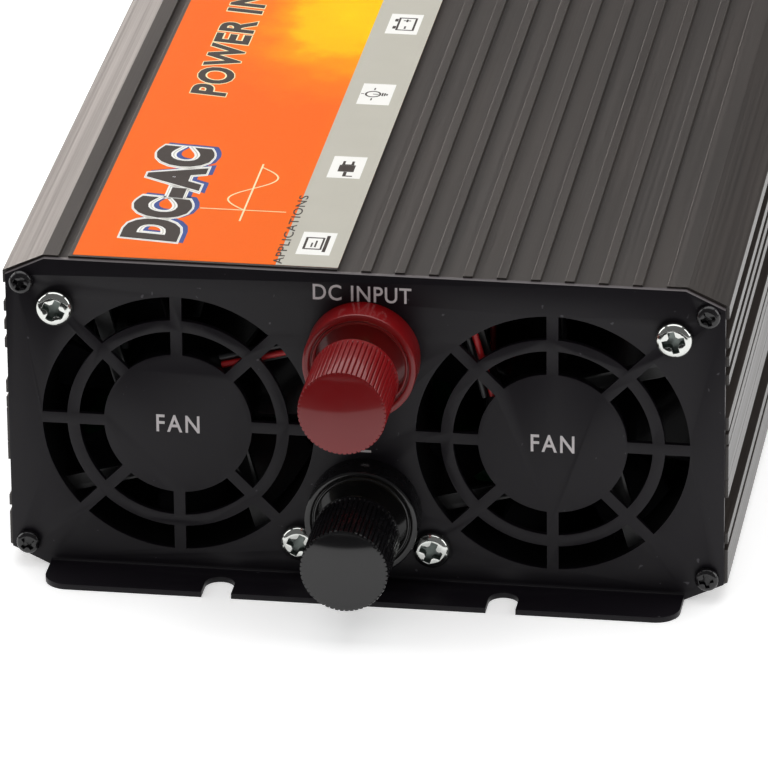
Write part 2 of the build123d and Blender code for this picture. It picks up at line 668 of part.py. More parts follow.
def fan_lead(angle, x, offset):
    """One lead: along its strut, back past the fan's corner and down to the board."""
    (sx, sz), (dx, dz) = strut_line()
    front = MOTOR_PLATE_SETBACK + LEAD_RADIUS
    drop = LEAD_DROP_GAP + FAN_DEPTH + offset
    cx, cz = lead_corner(offset)
    local = [(sx - offset * dz, front, sz + offset * dx), (cx, front, cz), (cx, drop, cz)]
    c, s = math.cos(math.radians(angle)), math.sin(math.radians(angle))
    points = [(x + px * c - pz * s, py - HALF_LENGTH, FAN_Z + px * s + pz * c) for px, py, pz in local]
    end_x, end_y, end_z = points[-1]
    points.append((end_x, end_y, BOARD_TOP + CONNECTOR_HEIGHT))
    return cord(points, [LEAD_BEND, LEAD_BEND], LEAD_RADIUS), (end_x, end_y)


def fans():
    """Both fans, each with its motor. The left fan sits a quarter turn clockwise from the right one."""
    frame = fan_frame()
    wheel = impeller()
    plate_back = MOTOR_PLATE_SETBACK + MOTOR_PLATE_THICKNESS
    tube_end = plate_back + BEARING_TUBE_LENGTH
    bearing = rod_y(BEARING_RADIUS, plate_back + 1, tube_end)
    bearing -= rod_y(SHAFT_RADIUS + SHAFT_CLEARANCE, 0, tube_end + 1)
    shaft = rod_y(SHAFT_RADIUS, plate_back + 1.5, ROTOR_END - 0.6)
    magnet_outer = ROTOR_HUB_RADIUS - ROTOR_HUB_WALL
    magnet_inner = magnet_outer - MAGNET_THICKNESS
    magnet = rod_y(magnet_outer, ROTOR_START + 1, ROTOR_END - 3) - rod_y(magnet_inner, 0, FAN_DEPTH)
    stator_radius = magnet_inner - AIR_GAP
    stator = rod_y(stator_radius, plate_back + 2.5, plate_back + 10.5)
    stator -= rod_y(BEARING_TUBE_RADIUS + STATOR_FIT, 0, FAN_DEPTH)
    for index in range(4):
        gap = block(BEARING_TUBE_RADIUS + 1.2, 20, 0, FAN_DEPTH, -1.0, 1.0)
        stator -= spin_y(gap, 45 + index * 90)
    bearings, stators, red, black, plugs = [], [], [], [], []
    for name, x, angle in (("left", -FAN_X, -90), ("right", FAN_X, 0)):
        place = Pos(0, -HALF_LENGTH, 0)
        add(f"{name}_fan_frame", place * spin_y(frame, angle, x, FAN_Z))
        add(f"{name}_fan_impeller", place * spin_y(wheel, angle, x, FAN_Z))
        add(f"{name}_fan_magnet", place * spin_y(magnet, angle, x, FAN_Z))
        add(f"{name}_fan_shaft", place * spin_y(shaft, angle, x, FAN_Z))
        bearings.append(place * spin_y(bearing, angle, x, FAN_Z))
        stators.append(place * spin_y(stator, angle, x, FAN_Z))
        for colour, offset in ((red, 0), (black, LEAD_SPACING)):
            lead, plug = fan_lead(angle, x, offset)
            colour.append(lead)
            plugs.append(plug)
    add("fan_bearings", bearings)
    add("fan_stators", stators)
    add("fan_leads_red", red)
    add("fan_leads_black", black)
    sockets = []
    for first, second in (plugs[:2], plugs[2:]):
        mid_x, mid_y = (first[0] + second[0]) / 2, (first[1] + second[1]) / 2
        top = BOARD_TOP + CONNECTOR_HEIGHT
        sockets.append(block(mid_x - 3.5, mid_x + 3.5, mid_y - 3, mid_y + 3, BOARD_TOP, top))
    add("fan_connectors", sockets)


# ---------------------------------------------------------------- battery terminals
def fluted_bar(radius, y0, y1):
    """A bar with fine V flutes up to a plain shoulder at its back edge, and a slightly domed front."""
    points = []
    for index in range(KNOB_FLUTES):
        for step, r in ((0.0, radius - FLUTE_DEPTH), (0.5, radius)):
            a = 2 * math.pi * (index + step) / KNOB_FLUTES
            points.append((r * math.cos(a), r * math.sin(a)))
    bar = prism_y(make_face(Polyline(*points, close=True)), y0, y1) + rod_y(radius, y1 - KNOB_SHOULDER, y1)
    cone = rod_y(radius + 0.01, y0 + KNOB_DOME, y1)
    cone = chamfer(cone.edges().filter_by(GeomType.CIRCLE).group_by(Axis.Y)[0], KNOB_EDGE)
    edge = radius + 0.01 - KNOB_EDGE
    dome_radius = (edge**2 + KNOB_DOME**2) / (2 * KNOB_DOME)
    cap = Pos(0, y0 + dome_radius, 0) * Sphere(dome_radius) & rod_y(edge, y0 - 1, y0 + KNOB_DOME)
    return bar & (cone + cap)


def collar():
    """A terminal's plastic collar: an open cup with a stepped lip and a spigot through the panel."""
    body = rod_y(COLLAR_RADIUS, DC_FACE - COLLAR_DEPTH, DC_FACE)
    body = fillet(body.edges().filter_by(GeomType.CIRCLE).group_by(Axis.Y)[0], COLLAR_EDGE)
    rim = DC_FACE - COLLAR_DEPTH
    body -= rod_y(COLLAR_BORE_RADIUS, rim - 1, DC_FACE - COLLAR_FLOOR)
    body -= rod_y(COLLAR_BORE_RADIUS + COLLAR_LIP_WIDTH, rim - 1, rim + COLLAR_LIP_DEPTH)
    body += rod_y(SPIGOT_RADIUS, DC_FACE - 0.01, -HALF_LENGTH)
    return body - rod_y(STUD_RADIUS + STUD_CLEARANCE, rim - 1, -HALF_LENGTH + 1)


def terminals():
    """The two battery terminals: collar, stud, sliding washer, screw knob and the parts behind the panel."""
    washer_back = DC_FACE - COLLAR_DEPTH - WASHER_GAP
    washer_front = washer_back - WASHER_THICKNESS
    knob_back = washer_front - KNOB_SEAT_GAP
    knob_front = knob_back - KNOB_LENGTH
    insert_front = knob_back - INSERT_LENGTH
    rear = -HALF_LENGTH
    nut_start = rear + BUSHING_THICKNESS
    bar_start = nut_start + STUD_NUT_THICKNESS
    second_nut = bar_start + BUSBAR_THICKNESS
    stud_end = second_nut + STUD_NUT_THICKNESS + 1
    bore = STUD_RADIUS + STUD_CLEARANCE
    ring = collar()
    travel = WASHER_GAP + COLLAR_DEPTH - COLLAR_FLOOR
    stud = rod_y(STUD_RADIUS, insert_front + travel + STUD_TIP_CLEARANCE, stud_end)
    washer = rod_y(WASHER_RADIUS, washer_front, washer_back) - rod_y(bore, washer_front - 1, washer_back + 1)
    insert = rod_y(INSERT_RADIUS, insert_front, knob_back) - rod_y(bore, insert_front - 1, knob_back + 1)
    knob = fluted_bar(KNOB_RADIUS, knob_front, knob_back)
    knob -= rod_y(INSERT_RADIUS, insert_front, knob_back + 1)
    bushing = rod_y(BUSHING_RADIUS, rear, nut_start) - rod_y(bore, rear - 1, nut_start + 1)
    nut = hex_nut(STUD_NUT_FLATS, STUD_NUT_THICKNESS, bore)
    studs, bushings, nuts = [], [], []
    for name, z in TERMINAL_Z.items():
        lift = Pos(0, 0, z)
        add(f"{name}_terminal_collar", lift * ring)
        add(f"{name}_terminal_washer", lift * washer)
        add(f"{name}_terminal_knob", lift * knob)
        add(f"{name}_knob_insert", lift * insert)
        studs.append(lift * stud)
        bushings.append(lift * bushing)
        nuts.append(Pos(0, nut_start, z) * nut)
        nuts.append(Pos(0, second_nut, z) * nut)
    add("terminal_studs", studs)
    add("terminal_bushings", bushings)
    add("terminal_nuts", nuts)
    busbars(bar_start, bore)


def busbars(bar_start, bore):
    """Copper straps from the studs to the board."""
    middle = bar_start + BUSBAR_THICKNESS / 2
    half = BUSBAR_WIDTH / 2
    reach = {"positive": ("red", POSITIVE_FOOT), "negative": ("black", NEGATIVE_FOOT)}
    for name, (colour, foot) in reach.items():
        z = TERMINAL_Z[colour]
        top = z + BUSBAR_ARM
        foot_y = BOARD_START + foot
        points = [(middle, z - BUSBAR_TAIL), (middle, top), (foot_y, top), (foot_y, BOARD_TOP)]
        line = FilletPolyline(*points, radius=BUSBAR_BEND)
        strip = trace(line, line_width=BUSBAR_THICKNESS)
        strap = extrude(Plane.YZ * strip, amount=half, both=True)
        strap -= rod_y(bore, bar_start - 1, bar_start + BUSBAR_THICKNESS + 1, 0, z)
        add(f"{name}_busbar", strap)


# ---------------------------------------------------------------- electronics
def standoff_places():
    """X and Y of the six board supports."""
    x = BOARD_WIDTH / 2 - 12
    start, stop = BOARD_START + STANDOFF_INSET, BOARD_END - STANDOFF_INSET
    return [(side * x, y) for side in (-1, 1) for y in (start, (start + stop) / 2, stop)]


def board():
    """The main board on its six standoffs."""
    half = BOARD_WIDTH / 2
    sheet = block(-half, half, BOARD_START, BOARD_END, BOARD_BOTTOM, BOARD_TOP)
    post = rod_z(STANDOFF_RADIUS, WALL_BOTTOM, BOARD_BOTTOM)
    post -= rod_z(BOARD_SCREW_RADIUS + THREAD_CLEARANCE, 0, BOARD_TOP)
    posts, screws = [], []
    for x, y in standoff_places():
        sheet -= rod_z(BOARD_SCREW_RADIUS + SCREW_CLEARANCE, 0, BOARD_TOP + 1, x, y)
        posts.append(Pos(x, y, 0) * post)
        head = rod_z(2.8, BOARD_TOP, BOARD_TOP + 2)
        screws.append(Pos(x, y, 0) * (head + rod_z(BOARD_SCREW_RADIUS, 1.2, BOARD_TOP + 0.1)))
    add("main_board", sheet)
    add("board_standoffs", posts)
    add("board_screws", screws)


def board_parts():
    """The large parts on the board, in order from the battery end."""
    fuse_y = BOARD_START + FUSE_SETBACK
    cap_y = fuse_y + FUSE_LENGTH / 2 + PART_GAP + INPUT_CAP_RADIUS
    coil_half = TRANSFORMER_Y / 2 + TRANSFORMER_OVERHANG
    first_y = cap_y + INPUT_CAP_RADIUS + PART_GAP + coil_half
    second_y = first_y + 2 * coil_half + PART_GAP
    bus_y = second_y + coil_half + PART_GAP + BUS_CAP_RADIUS
    choke_y = bus_y + BUS_CAP_RADIUS + PART_GAP + CHOKE_OUTER_RADIUS + 2 * CHOKE_WIRE_RADIUS
    fuses = []
    for index in range(FUSE_COUNT):
        x = (index - (FUSE_COUNT - 1) / 2) * FUSE_PITCH
        half = FUSE_LENGTH / 2
        fuse = block(x - 2.6, x + 2.6, fuse_y - half, fuse_y + half, BOARD_TOP + 3, BOARD_TOP + 15)
        for side in (-1, 1):
            y = fuse_y + side * (half - 2)
            fuse += block(x - 0.4, x + 0.4, y - 1.5, y + 1.5, BOARD_TOP, BOARD_TOP + 3.1)
        fuses.append(fuse)
    add("blade_fuses", fuses)
    rows = [(index - (INPUT_CAP_COUNT - 1) / 2) * INPUT_CAP_PITCH for index in range(INPUT_CAP_COUNT)]
    add("input_capacitors", [can(INPUT_CAP_RADIUS, INPUT_CAP_HEIGHT, x, cap_y) for x in rows])
    transformers((first_y, second_y))
    spread = BUS_CAP_RADIUS + PART_GAP / 2
    add("bus_capacitors", [can(BUS_CAP_RADIUS, BUS_CAP_HEIGHT, x, bus_y) for x in (-spread, spread)])
    choke(-14, choke_y)
    card = block(26, 27.6, choke_y - 22, choke_y + 22, BOARD_TOP, BOARD_TOP + 32)
    add("driver_board", card)
    middles = (choke_y - 12, choke_y + 6)
    add("driver_chips", [block(27.6, 30.4, y - 5, y + 5, BOARD_TOP + 12, BOARD_TOP + 20) for y in middles])


def can(radius, height, x, y):
    """An electrolytic capacitor standing on the board."""
    body = rod_z(radius, BOARD_TOP, BOARD_TOP + height, x, y)
    return fillet(body.edges().filter_by(GeomType.CIRCLE).group_by(Axis.Z)[-1], 1.2)


def transformers(middles):
    """Two push-pull transformers: ferrite core pairs with tape-wrapped windings."""
    cores, coils = [], []
    half_x, half_y, half_z = TRANSFORMER_X / 2, TRANSFORMER_Y / 2, TRANSFORMER_Z / 2
    base = BOARD_TOP + 1.0
    window = base + TRANSFORMER_LEG
    window_top = base + TRANSFORMER_Z - TRANSFORMER_LEG
    inner, outer = TRANSFORMER_LEG * 0.9, half_x - TRANSFORMER_LEG
    fit = 0.2
    for y in middles:
        core = block(-half_x, half_x, y - half_y, y + half_y, base, base + TRANSFORMER_Z)
        core -= block(-outer, -inner, y - half_y - 1, y + half_y + 1, window, window_top)
        core -= block(inner, outer, y - half_y - 1, y + half_y + 1, window, window_top)
        cores.append(core)
        reach = half_y + TRANSFORMER_OVERHANG
        coil = block(-outer + fit, outer - fit, y - reach, y + reach, window + fit, window_top - fit)
        coil = fillet(coil.edges().filter_by(Axis.Z), 7.0)
        hole_x, hole_y = inner + fit, half_y + fit
        coil -= block(-hole_x, hole_x, y - hole_y, y + hole_y, base, base + TRANSFORMER_Z)
        coils.append(coil)
    add("transformer_cores", cores)
    add("transformer_windings", coils)


def choke(x, y):
    """The output choke: a toroid core lying flat, wound with thick wire."""
    low = BOARD_TOP + 2.5
    core = rod_z(CHOKE_OUTER_RADIUS, low, low + CHOKE_HEIGHT)
    core -= rod_z(CHOKE_INNER_RADIUS, low - 1, low + CHOKE_HEIGHT + 1)
    add("output_choke_core", Pos(x, y, 0) * core)
    gap = 0.15
    wire = 2 * CHOKE_WIRE_RADIUS
    width = CHOKE_OUTER_RADIUS - CHOKE_INNER_RADIUS + 2 * gap
    height = CHOKE_HEIGHT + 2 * gap
    loop = RectangleRounded(width + 2 * wire, height + 2 * wire, wire) - Rectangle(width, height)
    turn = extrude(Plane.XZ * loop, amount=CHOKE_WIRE_RADIUS * 0.9, both=True)
    middle = (CHOKE_OUTER_RADIUS + CHOKE_INNER_RADIUS) / 2
    turns = []
    for index in range(CHOKE_TURNS):
        placed = Rot(0, 0, index * 360 / (CHOKE_TURNS + 2)) * Pos(middle, 0, low + CHOKE_HEIGHT / 2) * turn
        turns.append(Pos(x, y, 0) * placed)
    add("output_choke_winding", turns)


def transistor_row(count):
    """Y of each transistor in a row along a side wall."""
    middle = (BOARD_START + BOARD_END) / 2
    return [middle + (index - (count - 1) / 2) * TRANSISTOR_PITCH for index in range(count)]


def clamp_screw_places(count):
    """Screws pass between every other pair of transistors."""
    row = transistor_row(count)
    return [(row[index] + row[index + 1]) / 2 for index in range(0, count - 1, 2)]


def clamp_height():
    return BOARD_TOP + TRANSISTOR_LIFT + TRANSISTOR_HEIGHT * 0.58


def transistors():
    """Power transistors clamped to the side walls of the lower shell through insulating pads."""
    pads, clamps, screws = [], [], []
    bodies = []
    face = INNER_HALF - PAD_THICKNESS
    inner = face - TRANSISTOR_BODY
    low = BOARD_TOP + TRANSISTOR_LIFT
    for side, count in ((-1, LOW_SIDE_COUNT), (1, HIGH_SIDE_COUNT)):
        row = transistor_row(count)
        for y in row:
            half = TRANSISTOR_WIDTH / 2
            body = block(inner, face, y - half, y + half, low, low + TRANSISTOR_HEIGHT * 0.62)
            body += block(face - 1.3, face, y - half, y + half, low, low + TRANSISTOR_HEIGHT)
            for offset in (-LEG_PITCH, 0, LEG_PITCH):
                leg = block(face - 3.2, face - 2.6, -LEG_WIDTH / 2, LEG_WIDTH / 2, BOARD_TOP, low + 0.1)
                body += Pos(0, y + offset, 0) * leg
            bodies.append(flip(body, side))
        start, stop = row[0] - TRANSISTOR_WIDTH, row[-1] + TRANSISTOR_WIDTH
        pad = block(face, INNER_HALF, start, stop, low - 0.5, low + TRANSISTOR_HEIGHT + 0.4)
        z = clamp_height()
        clamp = block(inner - CLAMP_THICKNESS, inner, start, stop, z - CLAMP_HEIGHT / 2, z + CLAMP_HEIGHT / 2)
        hole = BOARD_SCREW_RADIUS + THREAD_CLEARANCE
        for y in clamp_screw_places(count):
            clamp -= rod_x(hole, inner - CLAMP_THICKNESS - 1, inner + 1, y, z)
            pad -= rod_x(hole, face - 1, INNER_HALF + 1, y, z)
            head = rod_x(2.8, inner - CLAMP_THICKNESS - 2, inner - CLAMP_THICKNESS, y, z)
            shank = rod_x(BOARD_SCREW_RADIUS, inner - CLAMP_THICKNESS - 0.1, INNER_HALF + 1.5, y, z)
            screws.append(flip(head + shank, side))
        pads.append(flip(pad, side))
        clamps.append(flip(clamp, side))
    add("power_transistors", bodies)
    add("insulating_pads", pads)
    add("transistor_clamps", clamps)
    add("clamp_screws", screws)


def flip(shape, side):
    """A right-hand shape, or its mirror image for the left side."""
    return shape if side > 0 else mirror(shape, about=Plane.YZ)


# ---------------------------------------------------------------- mains end
def outlet():
    """A snap-in three-pin outlet about X = Z = 0, with its flange on the panel's outer face."""
    half_w, half_h = OUTLET_WIDTH / 2, OUTLET_HEIGHT / 2
    flange = prism_y(RectangleRounded(OUTLET_WIDTH, OUTLET_HEIGHT, 3.0), AC_FACE, AC_FACE + OUTLET_LIP)
    flange = chamfer(flange.faces().sort_by(Axis.Y)[-1].edges(), 0.6)
    inset = OUTLET_BODY_INSET
    body_w, body_h = half_w - inset, half_h - inset
    body = block(-body_w, body_w, AC_FACE - OUTLET_DEPTH, AC_FACE + 0.1, -body_h, body_h)
    outlet_solid = flange + body
    for x, (width, height) in outlet_slots():
        outlet_solid -= block(
            x - width / 2, x + width / 2, AC_FACE - OUTLET_SLOT_DEPTH, AC_FACE + OUTLET_LIP + 1,
            4 - height / 2, 4 + height / 2,
        )
    z = 4 - EARTH_HOLE_DROP
    outlet_solid -= rod_y(EARTH_HOLE_RADIUS, AC_FACE - OUTLET_SLOT_DEPTH, AC_FACE + OUTLET_LIP + 1, 0, z)
    return outlet_solid


def outlet_slots():
    """X and size of the two blade slots."""
    return [(-SLOT_SPACING / 2, LIVE_SLOT), (SLOT_SPACING / 2, NEUTRAL_SLOT)]


def outlets():
    """Two outlets with their contacts and the leads to the board."""
    shell = outlet()
    contacts, leads = [], []
    contact_back = AC_FACE - OUTLET_DEPTH
    for name, (x, z) in outlet_places().items():
        place = Pos(x, 0, z)
        holder = shell
        for cx, cz in ((-SLOT_SPACING / 2, 4), (SLOT_SPACING / 2, 4), (0, 4 - EARTH_HOLE_DROP)):
            tab = block(cx - 1.6, cx + 1.6, contact_back - 6, contact_back + 5, cz - 0.4, cz + 0.4)
            holder -= tab
            contacts.append(place * tab)
        add(f"{name}_outlet", place * holder)
        for cx, cz in ((-SLOT_SPACING / 2, 4), (SLOT_SPACING / 2, 4)):
            px, pz = x + cx, z + cz - 0.4 - MAINS_LEAD_RADIUS
            points = [
                (px, contact_back - 3, pz),
                (px, contact_back - MAINS_LEAD_RUN, pz),
                (px, contact_back - MAINS_LEAD_RUN, BOARD_TOP),
            ]
            leads.append(cord(points, MAINS_LEAD_BEND, MAINS_LEAD_RADIUS))
    add("outlet_contacts", contacts)
    add("mains_leads", leads)


def rocker_profile():
    """The rocker's side view about its pivot, in Y-Z: two faces that meet in a shallow V."""
    half = SWITCH_HEIGHT / 2 - SWITCH_BEZEL - ROCKER_GAP - 0.35
    face = 1.6
    rise = half * math.tan(math.radians(ROCKER_TILT))
    back_half = half - 1.2
    front = [(face + rise, -half), (face, 0), (face + rise, half)]
    back = [(-3.0, back_half), (-5.0, 0), (-3.0, -back_half)]
    return make_face(Polyline(*front, *back, close=True))


def switch():
    """The rocker switch: a snap-in frame and the rocker, standing in its off position."""
    z = switch_height()
    pivot_y = AC_FACE + SWITCH_BEZEL - 2.6
    outer = block(
        SWITCH_X - SWITCH_WIDTH / 2, SWITCH_X + SWITCH_WIDTH / 2, AC_FACE, AC_FACE + SWITCH_BEZEL,
        z - SWITCH_HEIGHT / 2, z + SWITCH_HEIGHT / 2,
    )
    outer = chamfer(outer.faces().sort_by(Axis.Y)[-1].edges(), 0.5)
    inset = SWITCH_BEZEL / 2 + 0.1
    half_w, half_h = SWITCH_WIDTH / 2 - inset, SWITCH_HEIGHT / 2 - inset
    body = block(
        SWITCH_X - half_w, SWITCH_X + half_w, AC_FACE - SWITCH_DEPTH, AC_FACE + 0.1, z - half_h, z + half_h
    )
    frame = outer + body
    well_w, well_h = SWITCH_WIDTH / 2 - SWITCH_BEZEL, SWITCH_HEIGHT / 2 - SWITCH_BEZEL
    floor = AC_FACE - SWITCH_DEPTH + SWITCH_WALL
    well = block(-well_w, well_w, floor, AC_FACE + SWITCH_BEZEL + 1, -well_h, well_h)
    frame -= Pos(SWITCH_X, 0, z) * well
    pin = well_w + 0.8
    frame -= rod_x(PIVOT_RADIUS + PIVOT_CLEARANCE, SWITCH_X - pin, SWITCH_X + pin, pivot_y, z)
    add("power_switch_frame", frame)
    half_rocker = well_w - ROCKER_GAP
    rocker = extrude(Plane.YZ * rocker_profile(), amount=half_rocker, both=True)
    rocker += rod_x(PIVOT_RADIUS, -pin + 0.1, pin - 0.1)
    rocker = Pos(SWITCH_X, pivot_y, z) * Rot(-ROCKER_TILT, 0, 0) * rocker
    add("power_switch_rocker", rocker)


def lights_and_earth():
    """The two indicator lights and the earth screw."""
    lenses = []
    for x, z in led_places():
        lens = rod_y(LED_RADIUS, AC_FACE - 5, AC_FACE + 1.2, x, z)
        lens += rod_y(LED_RADIUS + 0.6, AC_FACE - 6, HALF_LENGTH, x, z)
        dome = lens.edges().filter_by(GeomType.CIRCLE).group_by(Axis.Y)[-1]
        lenses.append(fillet(dome, 1.1))
    add("indicator_lenses", lenses)
    x, z = EARTH_SCREW_X, VENT_CENTRE_Z
    screw = pan_screw(EARTH_HEAD_RADIUS, EARTH_HEAD_HEIGHT, EARTH_SCREW_RADIUS, EARTH_SCREW_LENGTH)
    screw = Pos(x, AC_FACE + EARTH_NUT_HEIGHT + EARTH_LUG_GAP, z) * mirror(screw, about=Plane.XZ)
    nut = hex_nut(EARTH_NUT_WIDTH, EARTH_NUT_HEIGHT, EARTH_SCREW_RADIUS + THREAD_CLEARANCE)
    add("earth_screw", screw)
    add("earth_nuts", [Pos(x, y, z) * nut for y in (AC_FACE, HALF_LENGTH - EARTH_NUT_HEIGHT)])


def build():
    """Every node of the inverter."""
    housings()
    label()
    dc_end_panel()
    ac_end_panel()
    panel_screws()
    fan_fasteners()
    fans()
    terminals()
    board()
    board_parts()
    transistors()
    outlets()
    switch()
    lights_and_earth()


build()
os.makedirs("parts", exist_ok=True)
for name, shape in parts.items():
    export_step(shape, f"parts/{name}.step")
print(len(parts), "nodes written")
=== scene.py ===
import math

import bmesh
import bpy
from mathutils import Matrix, Vector


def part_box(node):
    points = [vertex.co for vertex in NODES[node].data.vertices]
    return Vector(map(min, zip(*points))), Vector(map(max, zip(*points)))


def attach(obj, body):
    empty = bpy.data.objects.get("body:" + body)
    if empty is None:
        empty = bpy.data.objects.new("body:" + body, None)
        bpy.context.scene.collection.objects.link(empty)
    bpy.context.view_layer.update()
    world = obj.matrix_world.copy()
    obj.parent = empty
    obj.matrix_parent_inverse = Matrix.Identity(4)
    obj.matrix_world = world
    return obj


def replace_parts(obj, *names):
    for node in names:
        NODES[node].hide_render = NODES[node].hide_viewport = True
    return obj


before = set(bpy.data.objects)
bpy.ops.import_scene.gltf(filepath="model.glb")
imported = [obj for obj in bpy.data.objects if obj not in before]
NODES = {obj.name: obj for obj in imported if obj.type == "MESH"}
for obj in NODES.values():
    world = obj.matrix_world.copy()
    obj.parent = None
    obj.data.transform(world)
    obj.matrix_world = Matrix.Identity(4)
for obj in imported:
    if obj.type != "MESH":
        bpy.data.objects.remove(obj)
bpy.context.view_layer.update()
MM = 0.001

# ---------------------------------------------------------------- places read from the frame
PANEL_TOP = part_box("dc_end_panel")[1].z
SHELL_LOW, SHELL_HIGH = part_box("upper_housing")
LABEL_LOW, LABEL_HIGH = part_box("top_label")
PANEL_THICKNESS = 1.2 * MM
DC_FACE = SHELL_LOW.y - PANEL_THICKNESS
AC_FACE = SHELL_HIGH.y + PANEL_THICKNESS


def middle(node):
    """The middle of a CAD node's box."""
    low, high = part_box(node)
    return (low + high) / 2


# ---------------------------------------------------------------- materials: helpers
def linear(code):
    """An sRGB hex colour as linear RGBA."""
    values = [int(code[i : i + 2], 16) / 255 for i in (1, 3, 5)]
    return tuple(v / 12.92 if v <= 0.04045 else ((v + 0.055) / 1.055) ** 2.4 for v in values) + (1.0,)


def feed(tree, node, inputs):
    """Sets a node's inputs: each is a number, a colour or the socket that feeds it."""
    for name, value in inputs.items():
        if isinstance(value, bpy.types.NodeSocket):
            tree.links.new(value, node.inputs[name])
        else:
            node.inputs[name].default_value = value


def add(tree, kind, inputs, **settings):
    """Adds one shader node with its settings and links. A Mix has its factor at 0, its colours at 6 and 7."""
    made = tree.nodes.new("ShaderNode" + kind)
    for name, value in settings.items():
        setattr(made, name, value)
    feed(tree, made, inputs)
    return made


def begin(name):
    """An empty material with its shader, and the piece's own coordinates in metres."""
    material = bpy.data.materials.new(name)
    material.use_nodes = True
    tree = material.node_tree
    tree.nodes.clear()
    shader = add(tree, "BsdfPrincipled", {})
    add(tree, "OutputMaterial", {"Surface": shader.outputs["BSDF"]})
    return material, tree, shader, add(tree, "TexCoord", {}).outputs["Object"]


def between(value, low, high, start, stop):
    """A Map Range node's inputs that carry a value from one range to another."""
    return {"Value": value, "From Min": low, "From Max": high, "To Min": start, "To Max": stop}


def moulded(name, colour, darker, roughness, grain_mm=0.35, relief_mm=0.01, specular=0.5, coat=0.0):
    """Injection-moulded plastic: an even colour, a faint mottle and the fine texture of the tool."""
    material, tree, shader, coords = begin(name)
    cloud = add(tree, "TexNoise", {"Vector": coords, "Scale": 1 / (14 * MM), "Detail": 3.0}).outputs[0]
    tint = add(tree, "Mix", {0: cloud, 6: linear(darker), 7: linear(colour)}, data_type="RGBA").outputs[2]
    grain = add(tree, "TexNoise", {"Vector": coords, "Scale": 1 / (grain_mm * MM)}).outputs[0]
    gloss = add(tree, "MapRange", between(grain, 0.3, 0.7, roughness * 0.85, roughness * 1.15)).outputs[0]
    bump = add(tree, "Bump", {"Height": grain, "Strength": 0.35, "Distance": relief_mm * MM}).outputs[0]
    feed(tree, shader, {"Base Color": tint, "Roughness": gloss, "Normal": bump})
    feed(tree, shader, {"Specular IOR Level": specular, "Coat Weight": coat, "Coat Roughness": 0.09})
    return material


def plated(name, colour, roughness, grain_mm=0.4, relief_mm=0.004):
    """Small plated or machined metal parts: bright, with faint turning marks and handling haze."""
    material, tree, shader, coords = begin(name)
    haze = add(tree, "TexNoise", {"Vector": coords, "Scale": 1 / (3 * MM), "Detail": 4.0}).outputs[0]
    base = linear(colour)
    dull = tuple(v * 0.82 for v in base[:3]) + (1.0,)
    tint = add(tree, "Mix", {0: haze, 6: dull, 7: base}, data_type="RGBA").outputs[2]
    gloss = add(tree, "MapRange", between(haze, 0.3, 0.75, roughness * 0.7, roughness * 1.4)).outputs[0]
    marks = add(tree, "TexNoise", {"Vector": coords, "Scale": 1 / (grain_mm * MM)}).outputs[0]
    bump = add(tree, "Bump", {"Height": marks, "Strength": 0.3, "Distance": relief_mm * MM}).outputs[0]
    feed(tree, shader, {"Base Color": tint, "Roughness": gloss, "Normal": bump, "Metallic": 1.0})
    return material


# ---------------------------------------------------------------- materials: the inverter's own
def anodised_extrusion():
    """Bronze-black anodised aluminium: a dark satin oxide skin with the die's fine lines along it."""
    material, tree, shader, coords = begin("anodised_aluminium")
    drawn = (1 / (0.5 * MM), 1 / (170 * MM), 1 / (0.5 * MM))
    along = add(tree, "Mapping", {"Vector": coords, "Scale": drawn})
    lines = add(tree, "TexNoise", {"Vector": along.outputs[0], "Scale": 1.0, "Detail": 3.0}).outputs[0]
    drifting = (1 / (9 * MM), 1 / (70 * MM), 1 / (9 * MM))
    broad = add(tree, "Mapping", {"Vector": coords, "Scale": drifting})
    clouds = add(tree, "TexNoise", {"Vector": broad.outputs[0], "Scale": 1.0, "Detail": 3.0}).outputs[0]
    cloudy = add(tree, "MapRange", between(clouds, 0.3, 0.7, 0.0, 1.0)).outputs[0]
    dyes = {0: cloudy, 6: linear("#231E1B"), 7: linear("#2E2723")}
    dye = add(tree, "Mix", dyes, data_type="RGBA").outputs[2]
    streaks = add(tree, "MapRange", between(lines, 0.35, 0.75, 0.0, 0.5)).outputs[0]
    streaked = add(tree, "Mix", {0: streaks, 6: dye, 7: linear("#38312C")}, data_type="RGBA").outputs[2]
    gloss = add(tree, "MapRange", between(lines, 0.3, 0.7, 0.3, 0.42)).outputs[0]
    bump = add(tree, "Bump", {"Height": lines, "Strength": 0.25, "Distance": 0.01 * MM}).outputs[0]
    feed(tree, shader, {"Base Color": streaked, "Roughness": gloss, "Normal": bump, "IOR": 1.55})
    return material


def powder_coated_steel():
    """Black powder-coated sheet: a soft satin skin with a very fine orange peel and a few dust specks."""
    material, tree, shader, coords = begin("powder_coated_steel")
    clouds = add(tree, "TexNoise", {"Vector": coords, "Scale": 1 / (30 * MM), "Detail": 3.0}).outputs[0]
    blacks = {0: clouds, 6: linear("#110E13"), 7: linear("#161318")}
    skin = add(tree, "Mix", blacks, data_type="RGBA").outputs[2]
    specks = add(tree, "TexNoise", {"Vector": coords, "Scale": 1 / (1.1 * MM), "Detail": 0.0}).outputs[0]
    dust = add(tree, "MapRange", between(specks, 0.86, 0.9, 0.0, 0.3)).outputs[0]
    dusty = add(tree, "Mix", {0: dust, 6: skin, 7: linear("#77757A")}, data_type="RGBA").outputs[2]
    peel = add(tree, "TexNoise", {"Vector": coords, "Scale": 1 / (0.5 * MM)}).outputs[0]
    gloss = add(tree, "MapRange", between(peel, 0.3, 0.7, 0.36, 0.44)).outputs[0]
    bump = add(tree, "Bump", {"Height": peel, "Strength": 0.3, "Distance": 0.01 * MM}).outputs[0]
    feed(tree, shader, {"Base Color": dusty, "Roughness": gloss, "Normal": bump, "Specular IOR Level": 0.22})
    return material


